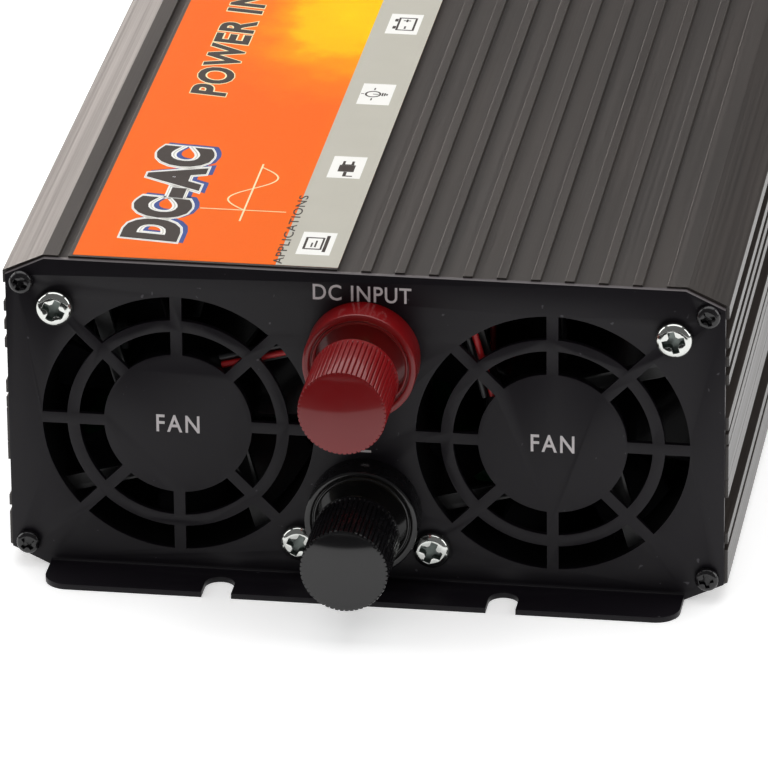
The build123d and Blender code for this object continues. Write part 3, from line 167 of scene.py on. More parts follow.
def ink_gloss(tree, shader, coords):
    """The satin surface that every ink on the film shares."""
    grain = add(tree, "TexNoise", {"Vector": coords, "Scale": 1 / (0.6 * MM)}).outputs[0]
    gloss = add(tree, "MapRange", between(grain, 0.3, 0.7, 0.32, 0.4)).outputs[0]
    feed(tree, shader, {"Roughness": gloss, "Specular IOR Level": 0.05})
    return grain


def printed_film(name, colour, darker):
    """Screen-printed polyester film: flat ink under a satin gloss, with a trace of unevenness in the ink."""
    material, tree, shader, coords = begin(name)
    ink = add(tree, "TexNoise", {"Vector": coords, "Scale": 1 / (9 * MM), "Detail": 3.0}).outputs[0]
    tint = add(tree, "Mix", {0: ink, 6: linear(darker), 7: linear(colour)}, data_type="RGBA")
    grain = ink_gloss(tree, shader, coords)
    bump = add(tree, "Bump", {"Height": grain, "Strength": 0.2, "Distance": 0.004 * MM})
    feed(tree, shader, {"Base Color": tint.outputs[2], "Normal": bump.outputs[0]})
    return material


GLOW_CENTRE = (-24.0 * MM, DC_FACE + 139 * MM, 0.0)
GLOW_REACH = (26 * MM, 52 * MM)
GLOW_STOPS = ((0.36, "#FFBE00"), (0.5, "#FB9A0A"), (0.72, "#F67C18"))


def sunrise_ink():
    """The film's orange field: orange ink that glows yellow in one soft round patch and deepens around it."""
    material, tree, shader, coords = begin("orange_ink")
    offset = add(tree, "VectorMath", {0: coords, 1: GLOW_CENTRE}, operation="SUBTRACT").outputs[0]
    scale = (1 / GLOW_REACH[0], 1 / GLOW_REACH[1], 0.0)
    flat = add(tree, "VectorMath", {0: offset, 1: scale}, operation="MULTIPLY").outputs[0]
    reach = add(tree, "VectorMath", {0: flat}, operation="LENGTH").outputs["Value"]
    wisps = add(tree, "TexNoise", {"Vector": coords, "Scale": 1 / (10 * MM), "Detail": 4.0}).outputs[0]
    wobble = add(tree, "MapRange", between(wisps, 0.3, 0.7, -0.09, 0.09)).outputs[0]
    edge = add(tree, "Math", {0: reach, 1: wobble}, operation="ADD").outputs[0]
    glow = add(tree, "ValToRGB", {"Fac": edge})
    stops = glow.color_ramp.elements
    stops[0].position, stops[0].color = 0.0, linear("#FFCC00")
    stops[1].position, stops[1].color = 1.0, linear("#F46A1A")
    for position, code in GLOW_STOPS:
        stops.new(position).color = linear(code)
    ink_gloss(tree, shader, coords)
    feed(tree, shader, {"Base Color": glow.outputs["Color"]})
    return material


def lens(name, colour):
    """A tinted indicator lens: clear coloured plastic with a bright skin."""
    material, tree, shader, coords = begin(name)
    cloud = add(tree, "TexNoise", {"Vector": coords, "Scale": 1 / (2 * MM)}).outputs[0]
    tint = add(tree, "Mix", {0: cloud, 6: linear(colour), 7: linear("#FFFFFF")}, data_type="RGBA").outputs[2]
    gloss = add(tree, "MapRange", between(cloud, 0.0, 1.0, 0.08, 0.16)).outputs[0]
    feed(tree, shader, {"Base Color": tint, "Roughness": gloss, "Transmission Weight": 0.35})
    return material


def wound_tape():
    """Yellow polyester tape wound over a coil: overlapping bands across the winding."""
    material, tree, shader, coords = begin("winding_tape")
    wave = {"Vector": coords, "Scale": 1 / (60 * MM), "Distortion": 0.6, "Detail": 1.0}
    bands = add(tree, "TexWave", wave, bands_direction="Z").outputs["Fac"]
    tint = add(tree, "Mix", {0: bands, 6: linear("#B98A1E"), 7: linear("#D9AA32")}, data_type="RGBA")
    gloss = add(tree, "MapRange", between(bands, 0.0, 1.0, 0.25, 0.4))
    feed(tree, shader, {"Base Color": tint.outputs[2], "Roughness": gloss.outputs[0]})
    return material


def solder_mask():
    """A green circuit board: glossy solder mask with faint darker tracks below it."""
    material, tree, shader, coords = begin("circuit_board")
    tracks = {
        "Vector": coords, "Scale": 1 / (22 * MM), "Mortar Size": 0.06, "Color1": linear("#0E4426"),
        "Color2": linear("#124D2C"), "Mortar": linear("#1E6A3E"),
    }
    tint = add(tree, "TexBrick", tracks).outputs["Color"]
    feed(tree, shader, {"Base Color": tint, "Coat Weight": 0.3, "Roughness": 0.35})
    return material


MATERIALS = {
    "anodised_aluminium": anodised_extrusion(),
    "powder_coated_steel": powder_coated_steel(),
    "black_oxide_steel": moulded("black_oxide_steel", "#171517", "#111012", 0.2, 1.2, 0.006),
    "zinc_plated_steel": plated("zinc_plated_steel", "#D6D8D4", 0.1),
    # The recess plating is darker than the zinc: painted shade for the screws' cross recesses.
    "recess_painted_shade_steel": plated("recess_painted_shade_steel", "#8E9692", 0.5),
    "nickel_plated_brass": plated("nickel_plated_brass", "#CFC6B2", 0.22),
    "bare_copper": plated("bare_copper", "#C9805A", 0.3),
    "ground_steel": plated("ground_steel", "#C8C8C8", 0.25),
    "mill_finish_aluminium": plated("mill_finish_aluminium", "#C4C4C4", 0.4),
    "sintered_bronze": plated("sintered_bronze", "#8A7242", 0.5),
    "enamelled_copper": plated("enamelled_copper", "#B8632C", 0.28),
    "silicon_steel": plated("silicon_steel", "#77787A", 0.45),
    "red_abs": moulded("red_abs", "#7C070C", "#70060A", 0.36, 2.5, 0.003, specular=0.22, coat=0.5),
    "black_abs": moulded("black_abs", "#0B0A0C", "#080709", 0.4, 2.5, 0.003, specular=0.08, coat=0.9),
    "black_nylon": moulded("black_nylon", "#1A1A1B", "#141415", 0.5),
    "fan_pbt": moulded("fan_pbt", "#0F0F10", "#0B0B0C", 0.42),
    "fan_blade_pbt": moulded("fan_blade_pbt", "#101012", "#0C0C0E", 0.22, relief_mm=0.004),
    "bonded_ferrite": moulded("bonded_ferrite", "#2A2A2C", "#222224", 0.7),
    "sintered_ferrite": moulded("sintered_ferrite", "#2E2E30", "#262628", 0.6, 0.6, 0.03),
    "red_pvc": moulded("red_pvc", "#B3161C", "#9C1217", 0.4),
    "black_pvc": moulded("black_pvc", "#18181A", "#121214", 0.4),
    "white_nylon": moulded("white_nylon", "#E4E0D4", "#D8D4C8", 0.45),
    "green_polycarbonate": moulded("green_polycarbonate", "#1B4F31", "#16442A", 0.15, coat=0.4),
    "shrink_sleeve": moulded("shrink_sleeve", "#20222A", "#1A1C22", 0.3),
    "moulded_epoxy": moulded("moulded_epoxy", "#1C1C1D", "#161617", 0.55, grain_mm=0.25),
    "grey_silicone": moulded("grey_silicone", "#8C9094", "#7E8286", 0.65),
    "iron_powder_paint": moulded("iron_powder_paint", "#C7A02C", "#B48E22", 0.5, 0.8, 0.03),
    "black_polycarbonate": moulded("black_polycarbonate", "#1B1B1D", "#161618", 0.38),
    "green_lens": lens("green_lens", "#2FBF5A"),
    "winding_tape": wound_tape(),
    "circuit_board": solder_mask(),
    "orange_ink": sunrise_ink(),
    # A paler grey for the panels' upward top-edge faces: a painted highlight.
    "top_edge_painted_highlight": moulded("top_edge_painted_highlight", "#5A5456", "#4C4749", 0.4),
    "grey_ink": printed_film("grey_ink", "#BFBCB1", "#B7B4A9"),
    "white_ink": printed_film("white_ink", "#F4F3EF", "#ECEBE6"),
    "charcoal_ink": printed_film("charcoal_ink", "#4B4542", "#443E3B"),
    "blue_ink": printed_film("blue_ink", "#4A5C9A", "#42538C"),
    "cream_ink": printed_film("cream_ink", "#FFF3C8", "#FAEBBB"),
    "pad_print": printed_film("pad_print", "#D6D1D2", "#CAC5C6"),
}

NODE_MATERIALS = {
    "upper_housing": "anodised_aluminium",
    "lower_housing": "anodised_aluminium",
    "top_label": "orange_ink",
    "dc_end_panel": "powder_coated_steel",
    "ac_end_panel": "powder_coated_steel",
    "dc_panel_screws": "black_oxide_steel",
    "ac_panel_screws": "black_oxide_steel",
    "fan_screws": "zinc_plated_steel",
    "fan_nuts": "zinc_plated_steel",
    "left_fan_frame": "fan_pbt",
    "right_fan_frame": "fan_pbt",
    "left_fan_impeller": "fan_blade_pbt",
    "right_fan_impeller": "fan_blade_pbt",
    "left_fan_shaft": "ground_steel",
    "right_fan_shaft": "ground_steel",
    "left_fan_magnet": "bonded_ferrite",
    "right_fan_magnet": "bonded_ferrite",
    "fan_bearings": "sintered_bronze",
    "fan_stators": "silicon_steel",
    "fan_leads_red": "red_pvc",
    "fan_leads_black": "black_pvc",
    "fan_connectors": "white_nylon",
    "red_terminal_collar": "red_abs",
    "red_terminal_knob": "red_abs",
    "black_terminal_collar": "black_abs",
    "black_terminal_knob": "black_abs",
    "red_terminal_washer": "nickel_plated_brass",
    "black_terminal_washer": "nickel_plated_brass",
    "red_knob_insert": "nickel_plated_brass",
    "black_knob_insert": "nickel_plated_brass",
    "terminal_studs": "nickel_plated_brass",
    "terminal_bushings": "black_nylon",
    "terminal_nuts": "nickel_plated_brass",
    "positive_busbar": "bare_copper",
    "negative_busbar": "bare_copper",
    "main_board": "circuit_board",
    "board_standoffs": "zinc_plated_steel",
    "board_screws": "zinc_plated_steel",
    "blade_fuses": "green_polycarbonate",
    "input_capacitors": "shrink_sleeve",
    "bus_capacitors": "shrink_sleeve",
    "transformer_cores": "sintered_ferrite",
    "transformer_windings": "winding_tape",
    "output_choke_core": "iron_powder_paint",
    "output_choke_winding": "enamelled_copper",
    "driver_board": "circuit_board",
    "driver_chips": "moulded_epoxy",
    "power_transistors": "moulded_epoxy",
    "insulating_pads": "grey_silicone",
    "transistor_clamps": "mill_finish_aluminium",
    "clamp_screws": "zinc_plated_steel",
    "left_outlet": "black_polycarbonate",
    "right_outlet": "black_polycarbonate",
    "outlet_contacts": "nickel_plated_brass",
    "mains_leads": "black_pvc",
    "power_switch_frame": "black_polycarbonate",
    "power_switch_rocker": "black_abs",
    "indicator_lenses": "green_lens",
    "earth_screw": "zinc_plated_steel",
    "earth_nuts": "zinc_plated_steel",
}


def paint(piece, name):
    """Gives a piece one material all over."""
    piece.data.materials.clear()
    piece.data.materials.append(MATERIALS[name])


for node_name, material_name in NODE_MATERIALS.items():
    paint(NODES[node_name], material_name)


# ---------------------------------------------------------------- mesh helpers
def keep(name, mesh, material, body="case"):
    """A finished mesh as a piece of its own that rides on a body."""
    piece = bpy.data.objects.new(name, mesh)
    bpy.context.scene.collection.objects.link(piece)
    paint(piece, material)
    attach(piece, body)
    return piece


def smooth(mesh, degrees=35):
    """Smooth shading, with creases where faces meet at more than the angle."""
    mesh.shade_smooth()
    mesh.set_sharp_from_angle(angle=math.radians(degrees))


def eased(node, edge_mm, body="case", segments=2, degrees=30):
    """A CAD node's shape with its sharp edges eased, as a coated, cast or machined edge is."""
    mesh = NODES[node].data.copy()
    mesh.name = node + "_eased"
    shape = bmesh.new()
    shape.from_mesh(mesh)
    bmesh.ops.remove_doubles(shape, verts=shape.verts, dist=0.002 * MM)
    bmesh.ops.dissolve_limit(shape, angle_limit=math.radians(0.6), verts=shape.verts, edges=shape.edges)
    if edge_mm:
        folds = [e for e in shape.edges if len(e.link_faces) == 2]
        sharp = [e for e in folds if e.calc_face_angle(0.0) > math.radians(degrees)]
        bmesh.ops.bevel(
            shape, geom=sharp, affect="EDGES", offset=edge_mm * MM, offset_type="OFFSET", segments=segments,
            profile=0.5, material=-1, clamp_overlap=True,
        )
    shape.to_mesh(mesh)
    shape.free()
    smooth(mesh)
    piece = keep(node + "_eased", mesh, NODE_MATERIALS[node], body)
    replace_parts(piece, node)
    return piece


RECESS_SHARE = 0.63
RECESS_START = 0.12 * MM


def paint_recess_shade(piece, face_y, toward):
    """Painted shade in the cross recesses of a group of screws: faces inside a head, below its flat, take a
    darker, duller plating in place of the shade that falls there.
    """
    piece.data.materials.append(MATERIALS["recess_painted_shade_steel"])
    shape = bmesh.new()
    shape.from_mesh(piece.data)
    todo = set(shape.verts)
    while todo:
        stack, island = [todo.pop()], []
        while stack:
            vert = stack.pop()
            island.append(vert)
            for edge in vert.link_edges:
                other = edge.other_vert(vert)
                if other in todo:
                    todo.remove(other)
                    stack.append(other)
        low = [min(v.co[i] for v in island) for i in range(3)]
        high = [max(v.co[i] for v in island) for i in range(3)]
        centre = Vector(((low[0] + high[0]) / 2, 0, (low[2] + high[2]) / 2))
        reach = (high[0] - low[0]) / 2
        top = low[1] if toward < 0 else high[1]
        for face in {f for v in island for f in v.link_faces}:
            middle_point = face.calc_center_median()
            out = math.hypot(middle_point.x - centre.x, middle_point.z - centre.z)
            below = abs(middle_point.y - top)
            outside = (middle_point.y - face_y) * toward > 0
            if outside and out < RECESS_SHARE * reach and below > RECESS_START:
                face.material_index = 1
    shape.to_mesh(piece.data)
    shape.free()


TOP_EDGE_DEPTH = 6 * MM


def paint_top_edge_highlight(piece):
    """Painted highlight: the sheet's faces along its top edge that face upward take a paler grey, in place of
    the light that falls on them from above.
    """
    piece.data.materials.append(MATERIALS["top_edge_painted_highlight"])
    for face in piece.data.polygons:
        if face.normal.z > 0.3 and face.center.z > PANEL_TOP - TOP_EDGE_DEPTH:
            face.material_index = 1


def to_mesh(shape, name, place=None):
    """Closes a bmesh into a mesh, moved to its place."""
    mesh = bpy.data.meshes.new(name)
    shape.to_mesh(mesh)
    shape.free()
    if place is not None:
        mesh.transform(place)
    return mesh


# ---------------------------------------------------------------- easing the visible CAD parts
# The end panels' upward faces along their top edge take a painted highlight.
for node_name in ("dc_end_panel", "ac_end_panel"):
    paint_top_edge_highlight(eased(node_name, 0.12))
for node_name in ("left_outlet", "right_outlet", "power_switch_frame"):
    eased(node_name, 0.15)
for colour in ("red", "black"):
    eased(f"{colour}_terminal_washer", 0.1, f"{colour}_washer")
# The fan and earth screws take painted shade in their cross recesses.
FASTENERS = ("fan_screws", "dc_panel_screws", "ac_panel_screws", "earth_screw", "earth_nuts")
for node_name in FASTENERS + ("terminal_studs",):
    screws = eased(node_name, 0.05)
    if node_name == "fan_screws":
        paint_recess_shade(screws, DC_FACE, -1)
    if node_name == "earth_screw":
        paint_recess_shade(screws, AC_FACE, 1)
for side in ("left", "right"):
    eased(f"{side}_fan_impeller", 0.0, f"{side}_fan_rotor")
    eased(f"{side}_fan_frame", 0.0)
for node_name in ("fan_leads_red", "fan_leads_black", "mains_leads"):
    eased(node_name, 0.0)
eased("power_switch_rocker", 0.3, "switch_rocker")


# ---------------------------------------------------------------- the terminal knobs
KNOB_FLUTES = 54
STEPS_PER_FLUTE = 8
FLUTE_DEPTH = 0.36 * MM
RIM_DEPTH = 0.3 * MM
FLUTE_SHARE = 0.36
KNOB_SHOULDER = 1.0 * MM
KNOB_EDGE = 0.22 * MM
KNOB_DOME = 1.05 * MM
HOLLOW_SHARE = 0.85


def flute(angle):
    """How deep the groove is at an angle round the knob, from 0 on a rib's crown to 1 in the groove."""
    phase = (angle * KNOB_FLUTES / math.tau) % 1.0
    away = abs(phase - 0.5) * 2 / FLUTE_SHARE
    return (1 + math.cos(math.pi * away)) / 2 if away < 1 else 0.0


def next_ring(shape, ring, radius, height, depth, face=0.0):
    """Extrudes a ring of edges to a new radius and height, grooved to a depth, or on a face's dome."""
    made = bmesh.ops.extrude_edge_only(shape, edges=ring)["geom"]
    for vert in (item for item in made if isinstance(item, bmesh.types.BMVert)):
        angle = math.atan2(vert.co.y, vert.co.x)
        reach = radius - depth * flute(angle)
        rise = KNOB_DOME * (1 - (reach / face) ** 2) if face else 0.0
        vert.co = (reach * math.cos(angle), reach * math.sin(angle), height + rise)
    return [item for item in made if isinstance(item, bmesh.types.BMEdge)]


def screw_knob(colour):
    """A ribbed screw knob: plain shoulder at the back, rounded ribs, crisp rim and a slightly domed face."""
    node = f"{colour}_terminal_knob"
    low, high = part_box(node)
    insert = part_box(f"{colour}_knob_insert")
    radius = (high.z - low.z) / 2
    bore = (insert[1].z - insert[0].z) / 2
    length = high.y - low.y
    shape = bmesh.new()
    bmesh.ops.create_circle(shape, segments=KNOB_FLUTES * STEPS_PER_FLUTE, radius=bore)
    ring = list(shape.edges)
    front = length - KNOB_DOME
    stops = [
        (radius - 0.2 * MM, 0.0, 0.0), (radius, 0.2 * MM, 0.0), (radius, KNOB_SHOULDER, 0.0),
        (radius, KNOB_SHOULDER + 0.3 * MM, FLUTE_DEPTH), (radius, front - KNOB_EDGE, FLUTE_DEPTH),
        (radius - 0.3 * KNOB_EDGE, front - 0.3 * KNOB_EDGE, (FLUTE_DEPTH + RIM_DEPTH) / 2),
    ]
    for reach, height, depth in stops:
        ring = next_ring(shape, ring, reach, height, depth)
    face = radius - KNOB_EDGE
    for share in (1.0, 0.94, 0.8, 0.6, 0.4, 0.2, 0.05):
        ring = next_ring(shape, ring, face * share, front, RIM_DEPTH if share == 1.0 else 0.0, face)
    bmesh.ops.holes_fill(shape, edges=ring, sides=0)
    wall = bmesh.ops.extrude_edge_only(shape, edges=[e for e in shape.edges if e.is_boundary])["geom"]
    for vert in (item for item in wall if isinstance(item, bmesh.types.BMVert)):
        vert.co.z = length * HOLLOW_SHARE
    bmesh.ops.holes_fill(shape, edges=[e for e in shape.edges if e.is_boundary], sides=0)
    bmesh.ops.recalc_face_normals(shape, faces=shape.faces)
    middle_x, middle_z = (low.x + high.x) / 2, (low.z + high.z) / 2
    place = Matrix.Translation((middle_x, high.y, middle_z)) @ Matrix.Rotation(math.radians(90), 4, "X")
    mesh = to_mesh(shape, f"{colour}_knob_ribbed", place)
    smooth(mesh, 28)
    piece = keep(f"{colour}_knob_ribbed", mesh, f"{colour}_abs", f"{colour}_knob")
    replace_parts(piece, node)


# ---------------------------------------------------------------- the terminal collars
# The collar's section in millimetres: distance from its axis, and depth behind its rim.
COLLAR_SECTION = [
    (4.1, 4.8), (9.35, 4.8), (9.35, 1.0), (9.45, 0.8), (9.6, 0.72), (9.85, 0.72), (10.0, 0.8), (10.08, 0.95),
    (10.2, 0.95), (10.28, 0.25), (10.38, 0.08), (10.55, 0.0), (11.2, 0.0), (11.45, 0.06), (11.65, 0.2),
    (11.73, 0.45), (11.75, 0.7), (11.75, 6.8), (6.0, 6.8), (6.0, 8.0), (4.1, 8.0),
]
COLLAR_STEPS = 128


def terminal_collar(colour):
    """A terminal's moulded collar: a rounded rim, a thin raised ring just inside it, and an open cup."""
    node = f"{colour}_terminal_collar"
    low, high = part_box(node)
    shape = bmesh.new()
    section = [bmesh.ops.create_vert(shape, co=(r * MM, 0, -d * MM))["vert"][0] for r, d in COLLAR_SECTION]
    edges = [shape.edges.new((point, section[i - 1])) for i, point in enumerate(section)]
    bmesh.ops.spin(
        shape, geom=section + edges, cent=(0, 0, 0), axis=(0, 0, 1), angle=math.tau, steps=COLLAR_STEPS,
        use_merge=True, use_duplicate=False,
    )
    bmesh.ops.remove_doubles(shape, verts=shape.verts, dist=0.0005 * MM)
    bmesh.ops.recalc_face_normals(shape, faces=shape.faces)
    rim = Matrix.Translation(((low.x + high.x) / 2, low.y, (low.z + high.z) / 2))
    mesh = to_mesh(shape, f"{colour}_collar_moulded", rim @ Matrix.Rotation(math.radians(90), 4, "X"))
    smooth(mesh, 30)
    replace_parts(keep(f"{colour}_collar_moulded", mesh, f"{colour}_abs"), node)


for colour in ("red", "black"):
    screw_knob(colour)
    terminal_collar(colour)


# ---------------------------------------------------------------- print
PRINT_THICKNESS = 0.015 * MM
FILM_THICKNESS = 0.03 * MM


def lettering(text, cap, place, name, material, width=None, bold=0.0, slant=0.0, spacing=1.0):
    """Printed text: cap is the height of its capitals, and place puts its middle, facing local +Z."""
    curve = bpy.data.curves.new(name, "FONT")
    curve.body = text
    curve.align_x, curve.align_y = "CENTER", "CENTER"
    curve.size = 1.0
    curve.space_character = spacing
    curve.shear = slant
    curve.offset = bold
    curve.extrude = 0.5
    curve.resolution_u = 4
    holder = bpy.data.objects.new(name, curve)
    mesh = bpy.data.meshes.new_from_object(holder)
    bpy.data.objects.remove(holder)
    points = [v.co for v in mesh.vertices]
    low = Vector([min(p[i] for p in points) for i in range(3)])
    high = Vector([max(p[i] for p in points) for i in range(3)])
    size = high - low
    tall = cap / size.y
    wide = width / size.x if width else tall
    mesh.transform(Matrix.Translation(-(low + high) / 2))
    mesh.transform(Matrix.Diagonal((wide, tall, PRINT_THICKNESS, 1)))
    mesh.transform(place @ Matrix.Translation((0, 0, PRINT_THICKNESS / 2)))
    return keep(name, mesh, material)


def on_front(x_mm, z_mm):
    """A place on the battery panel's face, seen from the front: local X runs right and local Y up."""
    return Matrix.Translation((x_mm * MM, DC_FACE, z_mm * MM)) @ Matrix.Rotation(math.radians(90), 4, "X")


def on_back(x_mm, z_mm):
    """A place on the mains panel's face, seen from behind it."""
    turn = Matrix.Rotation(math.radians(180), 4, "Z") @ Matrix.Rotation(math.radians(90), 4, "X")
    return Matrix.Translation((x_mm * MM, AC_FACE, z_mm * MM)) @ turn


def on_label(x_mm, back_mm, layer=1):
    """A place on the film, back from the battery panel: text reads towards the mains end."""
    turn = Matrix.Rotation(math.radians(90), 4, "Z")
    lift = LABEL_LOW.z + FILM_THICKNESS + layer * PRINT_THICKNESS
    return Matrix.Translation((x_mm * MM, DC_FACE + back_mm * MM, lift)) @ turn


def plate(name, x0, x1, back0, back1, layer, material):
    """A printed rectangle on the film, between two places back from the battery panel, in millimetres."""
    shape = bmesh.new()
    bmesh.ops.create_cube(shape, size=1.0)
    size = Matrix.Diagonal(((x1 - x0) * MM, (back1 - back0) * MM, PRINT_THICKNESS, 1))
    centre = ((x0 + x1) / 2 * MM, DC_FACE + (back0 + back1) / 2 * MM, 0)
    lift = LABEL_LOW.z + FILM_THICKNESS + (layer - 0.5) * PRINT_THICKNESS
    place = Matrix.Translation((centre[0], centre[1], lift)) @ size
    return keep(name, to_mesh(shape, name, place), material)


def several(name, shapes, place, material):
    """Flat printed shapes in one piece, each as (kind, across, up, size) in millimetres.

    A bar's size is its width and height, a ring's its outer and inner radius.
    """
    thickness = PRINT_THICKNESS
    shape = bmesh.new()
    for kind, across, up, size in shapes:
        centre = Matrix.Translation((across * MM, up * MM, thickness / 2))
        if kind == "bar":
            spread = Matrix.Diagonal((size[0] * MM, size[1] * MM, thickness, 1))
            bmesh.ops.create_cube(shape, size=1.0, matrix=centre @ spread)
        else:
            outer, inner = size
            start = (across * MM + inner * MM, up * MM, 0)
            section = bmesh.ops.create_vert(shape, co=start)["vert"]
            section += bmesh.ops.create_vert(shape, co=(across * MM + outer * MM, up * MM, 0))["vert"]
            section += bmesh.ops.create_vert(shape, co=(across * MM + outer * MM, up * MM, thickness))["vert"]
            section += bmesh.ops.create_vert(shape, co=(across * MM + inner * MM, up * MM, thickness))["vert"]
            edges = [shape.edges.new((section[i], section[(i + 1) % 4])) for i in range(4)]
            bmesh.ops.spin(
                shape, geom=section + edges, cent=centre.translation, axis=(0, 0, 1), angle=math.tau,
                steps=32, use_merge=True, use_duplicate=False,
            )
    bmesh.ops.remove_doubles(shape, verts=shape.verts, dist=0.0005 * MM)
    bmesh.ops.recalc_face_normals(shape, faces=shape.faces)
    return keep(name, to_mesh(shape, name, place), material)


# ---------------------------------------------------------------- print: battery end
FAN_Z = middle("left_fan_frame").z / MM
FAN_X = middle("right_fan_frame").x / MM
RED_Z = middle("red_terminal_collar").z / MM
BLACK_Z = middle("black_terminal_collar").z / MM

for side, x in (("left", -FAN_X), ("right", FAN_X)):
    lettering(
        "FAN", 3.85 * MM, on_front(x, FAN_Z), f"fan_print_{side}", "pad_print", width=9.0 * MM, bold=0.012,
        spacing=1.22,
    )
lettering(
    "DC INPUT", 3.5 * MM, on_front(-0.2, 64.8), "dc_input_print", "pad_print", width=20.3 * MM, bold=0.009,
    spacing=1.08,
)
several("minus_print", [("bar", 0, 0, (2.1, 0.5))], on_front(0.25, BLACK_Z + 13.4), "pad_print")
several(
    "plus_print", [("bar", 0, 0, (2.1, 0.5)), ("bar", 0, 0.8, (0.5, 1.1)), ("bar", 0, -0.8, (0.5, 1.1))],
    on_front(0.25, RED_Z - 14.2), "pad_print",
)

# ---------------------------------------------------------------- print: the film on the top
FILM_RIGHT = LABEL_HIGH.x / MM
FILM_START = (LABEL_LOW.y - DC_FACE) / MM
FILM_END = (LABEL_HIGH.y - DC_FACE) / MM
STRIP_WIDTH = 12.85
SQUARE_PITCH = 40.8
SQUARE_FIRST = 13.8
SQUARE_SIZE = (11.7, 7.0)

film = bmesh.new()
bmesh.ops.create_cube(film, size=1.0)
film_size = Matrix.Diagonal((LABEL_HIGH.x - LABEL_LOW.x, LABEL_HIGH.y - LABEL_LOW.y, FILM_THICKNESS, 1))
film_centre = Matrix.Translation(
    ((LABEL_LOW.x + LABEL_HIGH.x) / 2, (LABEL_LOW.y + LABEL_HIGH.y) / 2, LABEL_LOW.z + FILM_THICKNESS / 2)
)
film_piece = keep("label_film", to_mesh(film, "label_film", film_centre @ film_size), "orange_ink")
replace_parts(film_piece, "top_label")
plate("label_grey_strip", FILM_RIGHT - STRIP_WIDTH, FILM_RIGHT, FILM_START, FILM_END, 1, "grey_ink")

# Each pictogram is drawn about its square's middle: across runs back along the film, up runs to the left.
LAMP = [
    ("ring", 0, 0.7, (1.75, 1.35)), ("bar", 0, -1.35, (1.7, 0.35)), ("bar", 0, -1.85, (1.5, 0.35)),
    ("bar", 0, -2.3, (0.9, 0.35)), ("bar", -2.9, 0.7, (1.2, 0.3)), ("bar", 2.9, 0.7, (1.2, 0.3)),
    ("bar", 0, 2.95, (0.3, 0.7)), ("bar", 0, 0.1, (0.3, 1.2)),
]
LAPTOP = [
    ("bar", 0, 2.3, (6.2, 0.5)), ("bar", -2.9, 0.5, (0.5, 3.2)), ("bar", 2.9, 0.5, (0.5, 3.2)),
    ("bar", 0, -1.2, (6.2, 0.4)), ("bar", 0, -2.0, (8.4, 0.7)), ("bar", -0.8, 0.9, (2.2, 0.35)),
    ("bar", -0.2, 0.1, (3.4, 0.35)),
]
PLUG = [
    ("bar", -0.6, 0, (3.6, 3.4)), ("bar", 2.3, 0.95, (2.0, 0.55)), ("bar", 2.3, -0.95, (2.0, 0.55)),
    ("bar", -3.5, 0, (2.0, 0.7)), ("bar", -4.7, -0.7, (0.5, 2.1)), ("bar", 1.45, 0, (0.35, 2.6)),
]
BATTERY = [
    ("bar", 0, 1.3, (7.4, 0.45)), ("bar", 0, -2.3, (7.4, 0.45)), ("bar", -3.5, -0.5, (0.45, 3.2)),
    ("bar", 3.5, -0.5, (0.45, 3.2)), ("bar", -2.1, 1.95, (1.5, 0.7)), ("bar", 2.1, 1.95, (1.5, 0.7)),
    ("bar", -2.0, -0.4, (1.5, 0.4)), ("bar", 2.0, -0.4, (1.5, 0.4)), ("bar", 2.0, 0.1, (0.4, 0.6)),
    ("bar", 2.0, -0.9, (0.4, 0.6)),
]
PICTOGRAMS = (("laptop", LAPTOP), ("plug", PLUG), ("lamp", LAMP), ("battery", BATTERY))

square_x = FILM_RIGHT - 6.225
for index in range(8):
    back = SQUARE_FIRST + SQUARE_PITCH * index
    start, stop = back - SQUARE_SIZE[0] / 2, back + SQUARE_SIZE[0] / 2
    left, right = square_x - SQUARE_SIZE[1] / 2, square_x + SQUARE_SIZE[1] / 2
    plate(f"label_square_{index}", left, right, start, stop, 2, "white_ink")
    kind, shapes = PICTOGRAMS[index % len(PICTOGRAMS)]
    several(f"{kind}_pictogram_{index}", shapes, on_label(square_x, back, 2), "charcoal_ink")


def outlined(text, cap_mm, width_mm, x, back, name, layers, slant=0.0):
    """A title on the film in stacked inks, each layer as (material, boldness, shift across, shift back)."""
    for level, (material, bold, shift_x, shift_back) in enumerate(layers):
        wide = (width_mm + 26 * bold) * MM
        tall = (cap_mm + 14 * bold) * MM
        place = on_label(x + shift_x, back + shift_back, level)
        lettering(text, tall, place, f"{name}_{level}", material, wide, bold, slant, 1.12)


outlined(
    "DC-AC", 11.6, 49.5, -46.35, 36.3, "title_print",
    [("blue_ink", 0.125, 0.9, 0.7), ("white_ink", 0.12, 0.0, 0.0), ("grey_ink", 0.09, 0.0, 0.0),
     ("white_ink", 0.08, 0.0, 0.0), ("charcoal_ink", 0.055, 0.0, 0.0)],
    slant=0.12,
)
outlined(
    "POWER INVERTER", 7.6, 104.0, -47.4, 142.5, "subtitle_print",
    [("cream_ink", 0.062, 0.0, 0.0), ("charcoal_ink", 0.032, 0.0, 0.0)], slant=0.15,
)
lettering(
    "APPLICATIONS", 2.0 * MM, on_label(-18.1, 20.5, 1), "applications_print", "charcoal_ink", width=36 * MM,
    bold=0.01, spacing=1.1,
)


